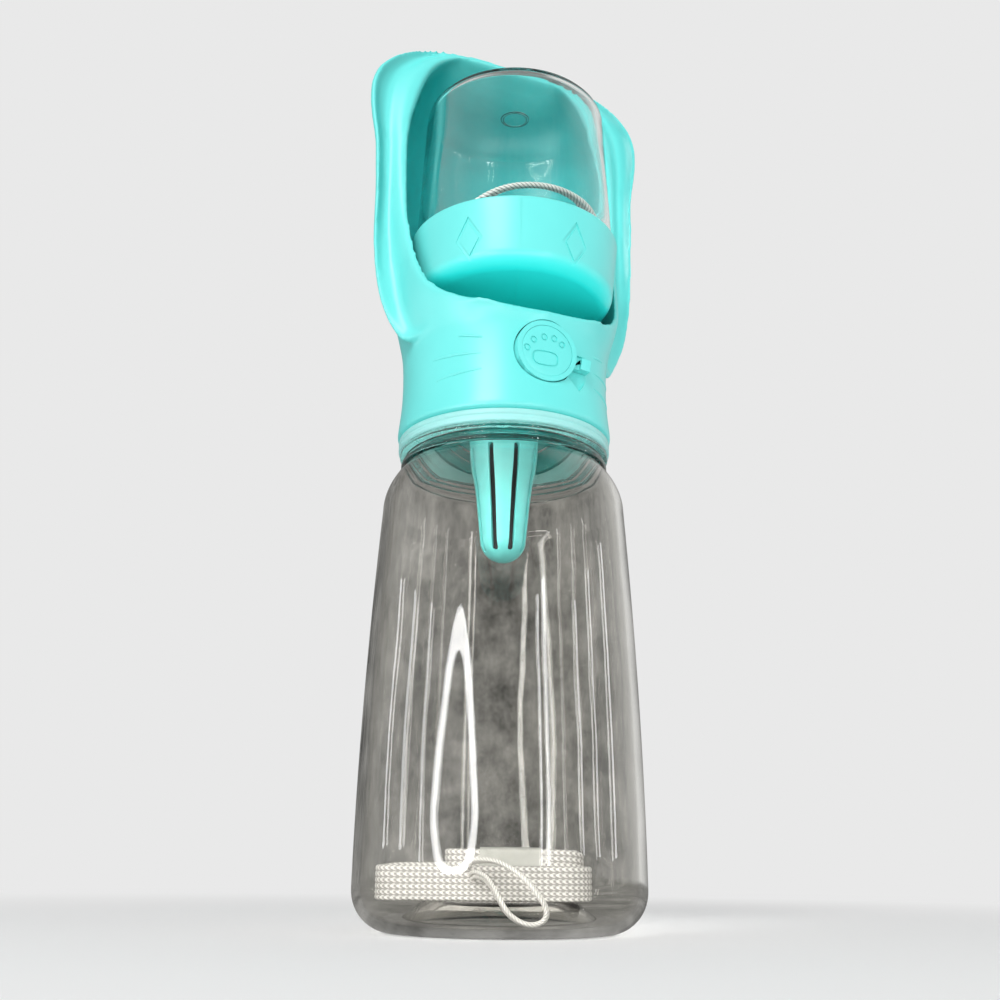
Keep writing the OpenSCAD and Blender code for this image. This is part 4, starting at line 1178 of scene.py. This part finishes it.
TEAL = srgb(112, 232, 228)
TEAL_SHADE = srgb(104, 225, 221)
teal = moulded("teal_plastic", TEAL, TEAL_SHADE)
# The head's teal, with painted shade on the inside of the bowl's back.
head_teal = moulded("head_teal_with_painted_bowl_shade", TEAL, TEAL_SHADE, inside=srgb(26, 158, 156))
# The lid's teal, with painted bounce light: its downward end face gets a brighter, more saturated teal.
lid_teal_painted_bounce = moulded("lid_teal_with_painted_bounce", TEAL, TEAL_SHADE,
                   painted_underside_bounce=(srgb(46, 255, 250), (LID_Z + 0.4) * MM, (LID_Z + 5) * MM))
# The same teal painted lighter, as painted light, so that the filter seen through the bottle looks as bright as the
# head.
basket_teal_painted_lighter = moulded("basket_teal_painted_lighter_plastic", srgb(132, 250, 246), srgb(124, 245, 241))
# The same teal painted darker, as painted shade, for the collar and valve that sit in shadow inside the head.
inner_teal_painted_shade = moulded("inner_teal_painted_shade_plastic", srgb(60, 190, 186), srgb(52, 180, 176), gloss=0.4)
white = moulded("white_plastic", srgb(236, 236, 232), srgb(226, 226, 222), gloss=0.35)
print("moulded plastics ready")

# %% Clear plastic
def clear(name, tint, dark, mottle=35, gloss=0.02, through=1.0, wave=0.0):
    """Clear moulded plastic: a tint that clouds a little, and slow waves in its face."""
    material, tree = new_material(name)
    colours = ramp(tree, noise(tree, mottle, 6, 0.65), (0.3, dark), (0.7, tint))
    bump = bumped(tree, noise(tree, 28, 1), 0.5, wave)
    body = add_node(tree, "BsdfPrincipled", {"Base Color": colours, "Normal": bump},
                    Roughness=gloss, IOR=1.45, Transmission_Weight=through)
    rays = add_node(tree, "LightPath")
    passed = add_node(tree, "BsdfTransparent")
    both = add_node(tree, "MixShader", {0: rays.outputs["Is Shadow Ray"], 1: body.outputs[0], 2: passed.outputs[0]})
    return finish_material(material, tree, both.outputs[0])


smoke_clear = clear("smoke_clear_plastic", srgb(247, 246, 243), srgb(228, 227, 223), mottle=60, wave=0.0008)
cup_clear = clear("cup_clear_plastic", srgb(250, 253, 253), srgb(243, 250, 250), mottle=20, wave=0.0014)
# Cloudy white silicone whose teal tint is painted light: it stands in for the teal head showing through the seal.
milky = clear("milky_silicone_painted_teal_light", srgb(190, 250, 248), srgb(180, 246, 244), gloss=0.38, through=0.4)
tape_clear = clear("milky_tape", srgb(222, 222, 217), srgb(206, 207, 201), mottle=160, gloss=0.3, through=0.55, wave=0.0003)
rubber = moulded("black_rubber", srgb(60, 60, 60), srgb(48, 48, 48), gloss=0.6)
print("clear plastics ready")

# %% Metal, carbon and cord
def steel_finish(name):
    material, tree = new_material(name)
    rough = ranged(tree, noise(tree, 900, 3), 0, 1, 0.2, 0.38)
    body = add_node(tree, "BsdfPrincipled", {"Roughness": rough}, Base_Color=(0.62, 0.62, 0.63, 1), Metallic=1)
    return finish_material(material, tree, body.outputs[0])


steel = steel_finish("spring_steel")
carbon = moulded("carbon_block", srgb(52, 52, 54), srgb(34, 34, 36), gloss=0.75, grain=0.0004, flow=300)
print("metal and carbon ready")


# %% Cord finish
def cord_finish(name, ridge, valley_painted_shade, gloss=0.55, sheen=0.15):
    """Spun cord: the ply attribute darkens the valleys as painted shade, and short fibres roughen the ridges."""
    material, tree = new_material(name)
    ply = add_node(tree, "Attribute", attribute_name="ply")
    fibres = noise(tree, 5200, 2)
    worn = add_node(tree, "Math", {0: fibres}, operation="MULTIPLY_ADD")
    worn.inputs[1].default_value = 0.45
    worn.inputs[2].default_value = -0.22
    mixed = add_node(tree, "Math", {0: ply.outputs["Fac"], 1: worn.outputs[0]}, operation="ADD")
    # Painted shade: the valleys between the plies get the darker colour.
    colours = ramp(tree, mixed.outputs[0], (0.15, valley_painted_shade), (0.75, ridge))
    bump = bumped(tree, fibres, 0.5, 0.00006)
    body = add_node(tree, "BsdfPrincipled", {"Base Color": colours, "Normal": bump},
                    Roughness=gloss, Sheen_Weight=sheen, Sheen_Roughness=0.4)
    return finish_material(material, tree, body.outputs[0])


# Each cord's second colour is the painted shade of its valleys.
braid_grey = cord_finish("braided_grey_cord", srgb(250, 248, 243), srgb(168, 165, 160))
twist_grey = cord_finish("twisted_grey_cord", srgb(206, 206, 200), srgb(104, 106, 102))
print("cord finishes ready")

# %% Which finish each piece has
def paint(piece, material):
    """Gives every face of a piece the same finish."""
    piece.data.materials.clear()
    piece.data.materials.append(material)
    for face in piece.data.polygons:
        face.material_index = 0


for piece, material in ((bottle, smoke_clear), (cup, cup_clear), (seal, milky), (head, head_teal), (lid, lid_teal_painted_bounce),
                        (lock, teal), (button, teal), (basket, basket_teal_painted_lighter), (tape, tape_clear), (strap, braid_grey),
                        (loop, braid_grey), (cup_cord, twist_grey)):
    paint(piece, material)
CAD_FINISH = {
    "bottle_body": smoke_clear, "food_cup": cup_clear, "neck_seal": milky, "lid_seal": milky,
    "head_shell": teal, "food_cup_lid": lid_teal_painted_bounce, "paw_button": teal, "lock_ring": teal, "filter_basket": teal,
    "screw_collar": inner_teal_painted_shade, "valve_body": inner_teal_painted_shade, "valve_plunger": white,
    "valve_gasket": rubber, "plunger_seals": rubber, "plunger_spring": steel, "plunger_clip": steel,
    "filter_core": carbon, "wrist_strap": white, "strap_cord": white, "strap_band": milky, "cup_cord": white}
for node, material in CAD_FINISH.items():
    paint(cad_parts[node], material)
print("painted", len(CAD_FINISH), "CAD nodes")
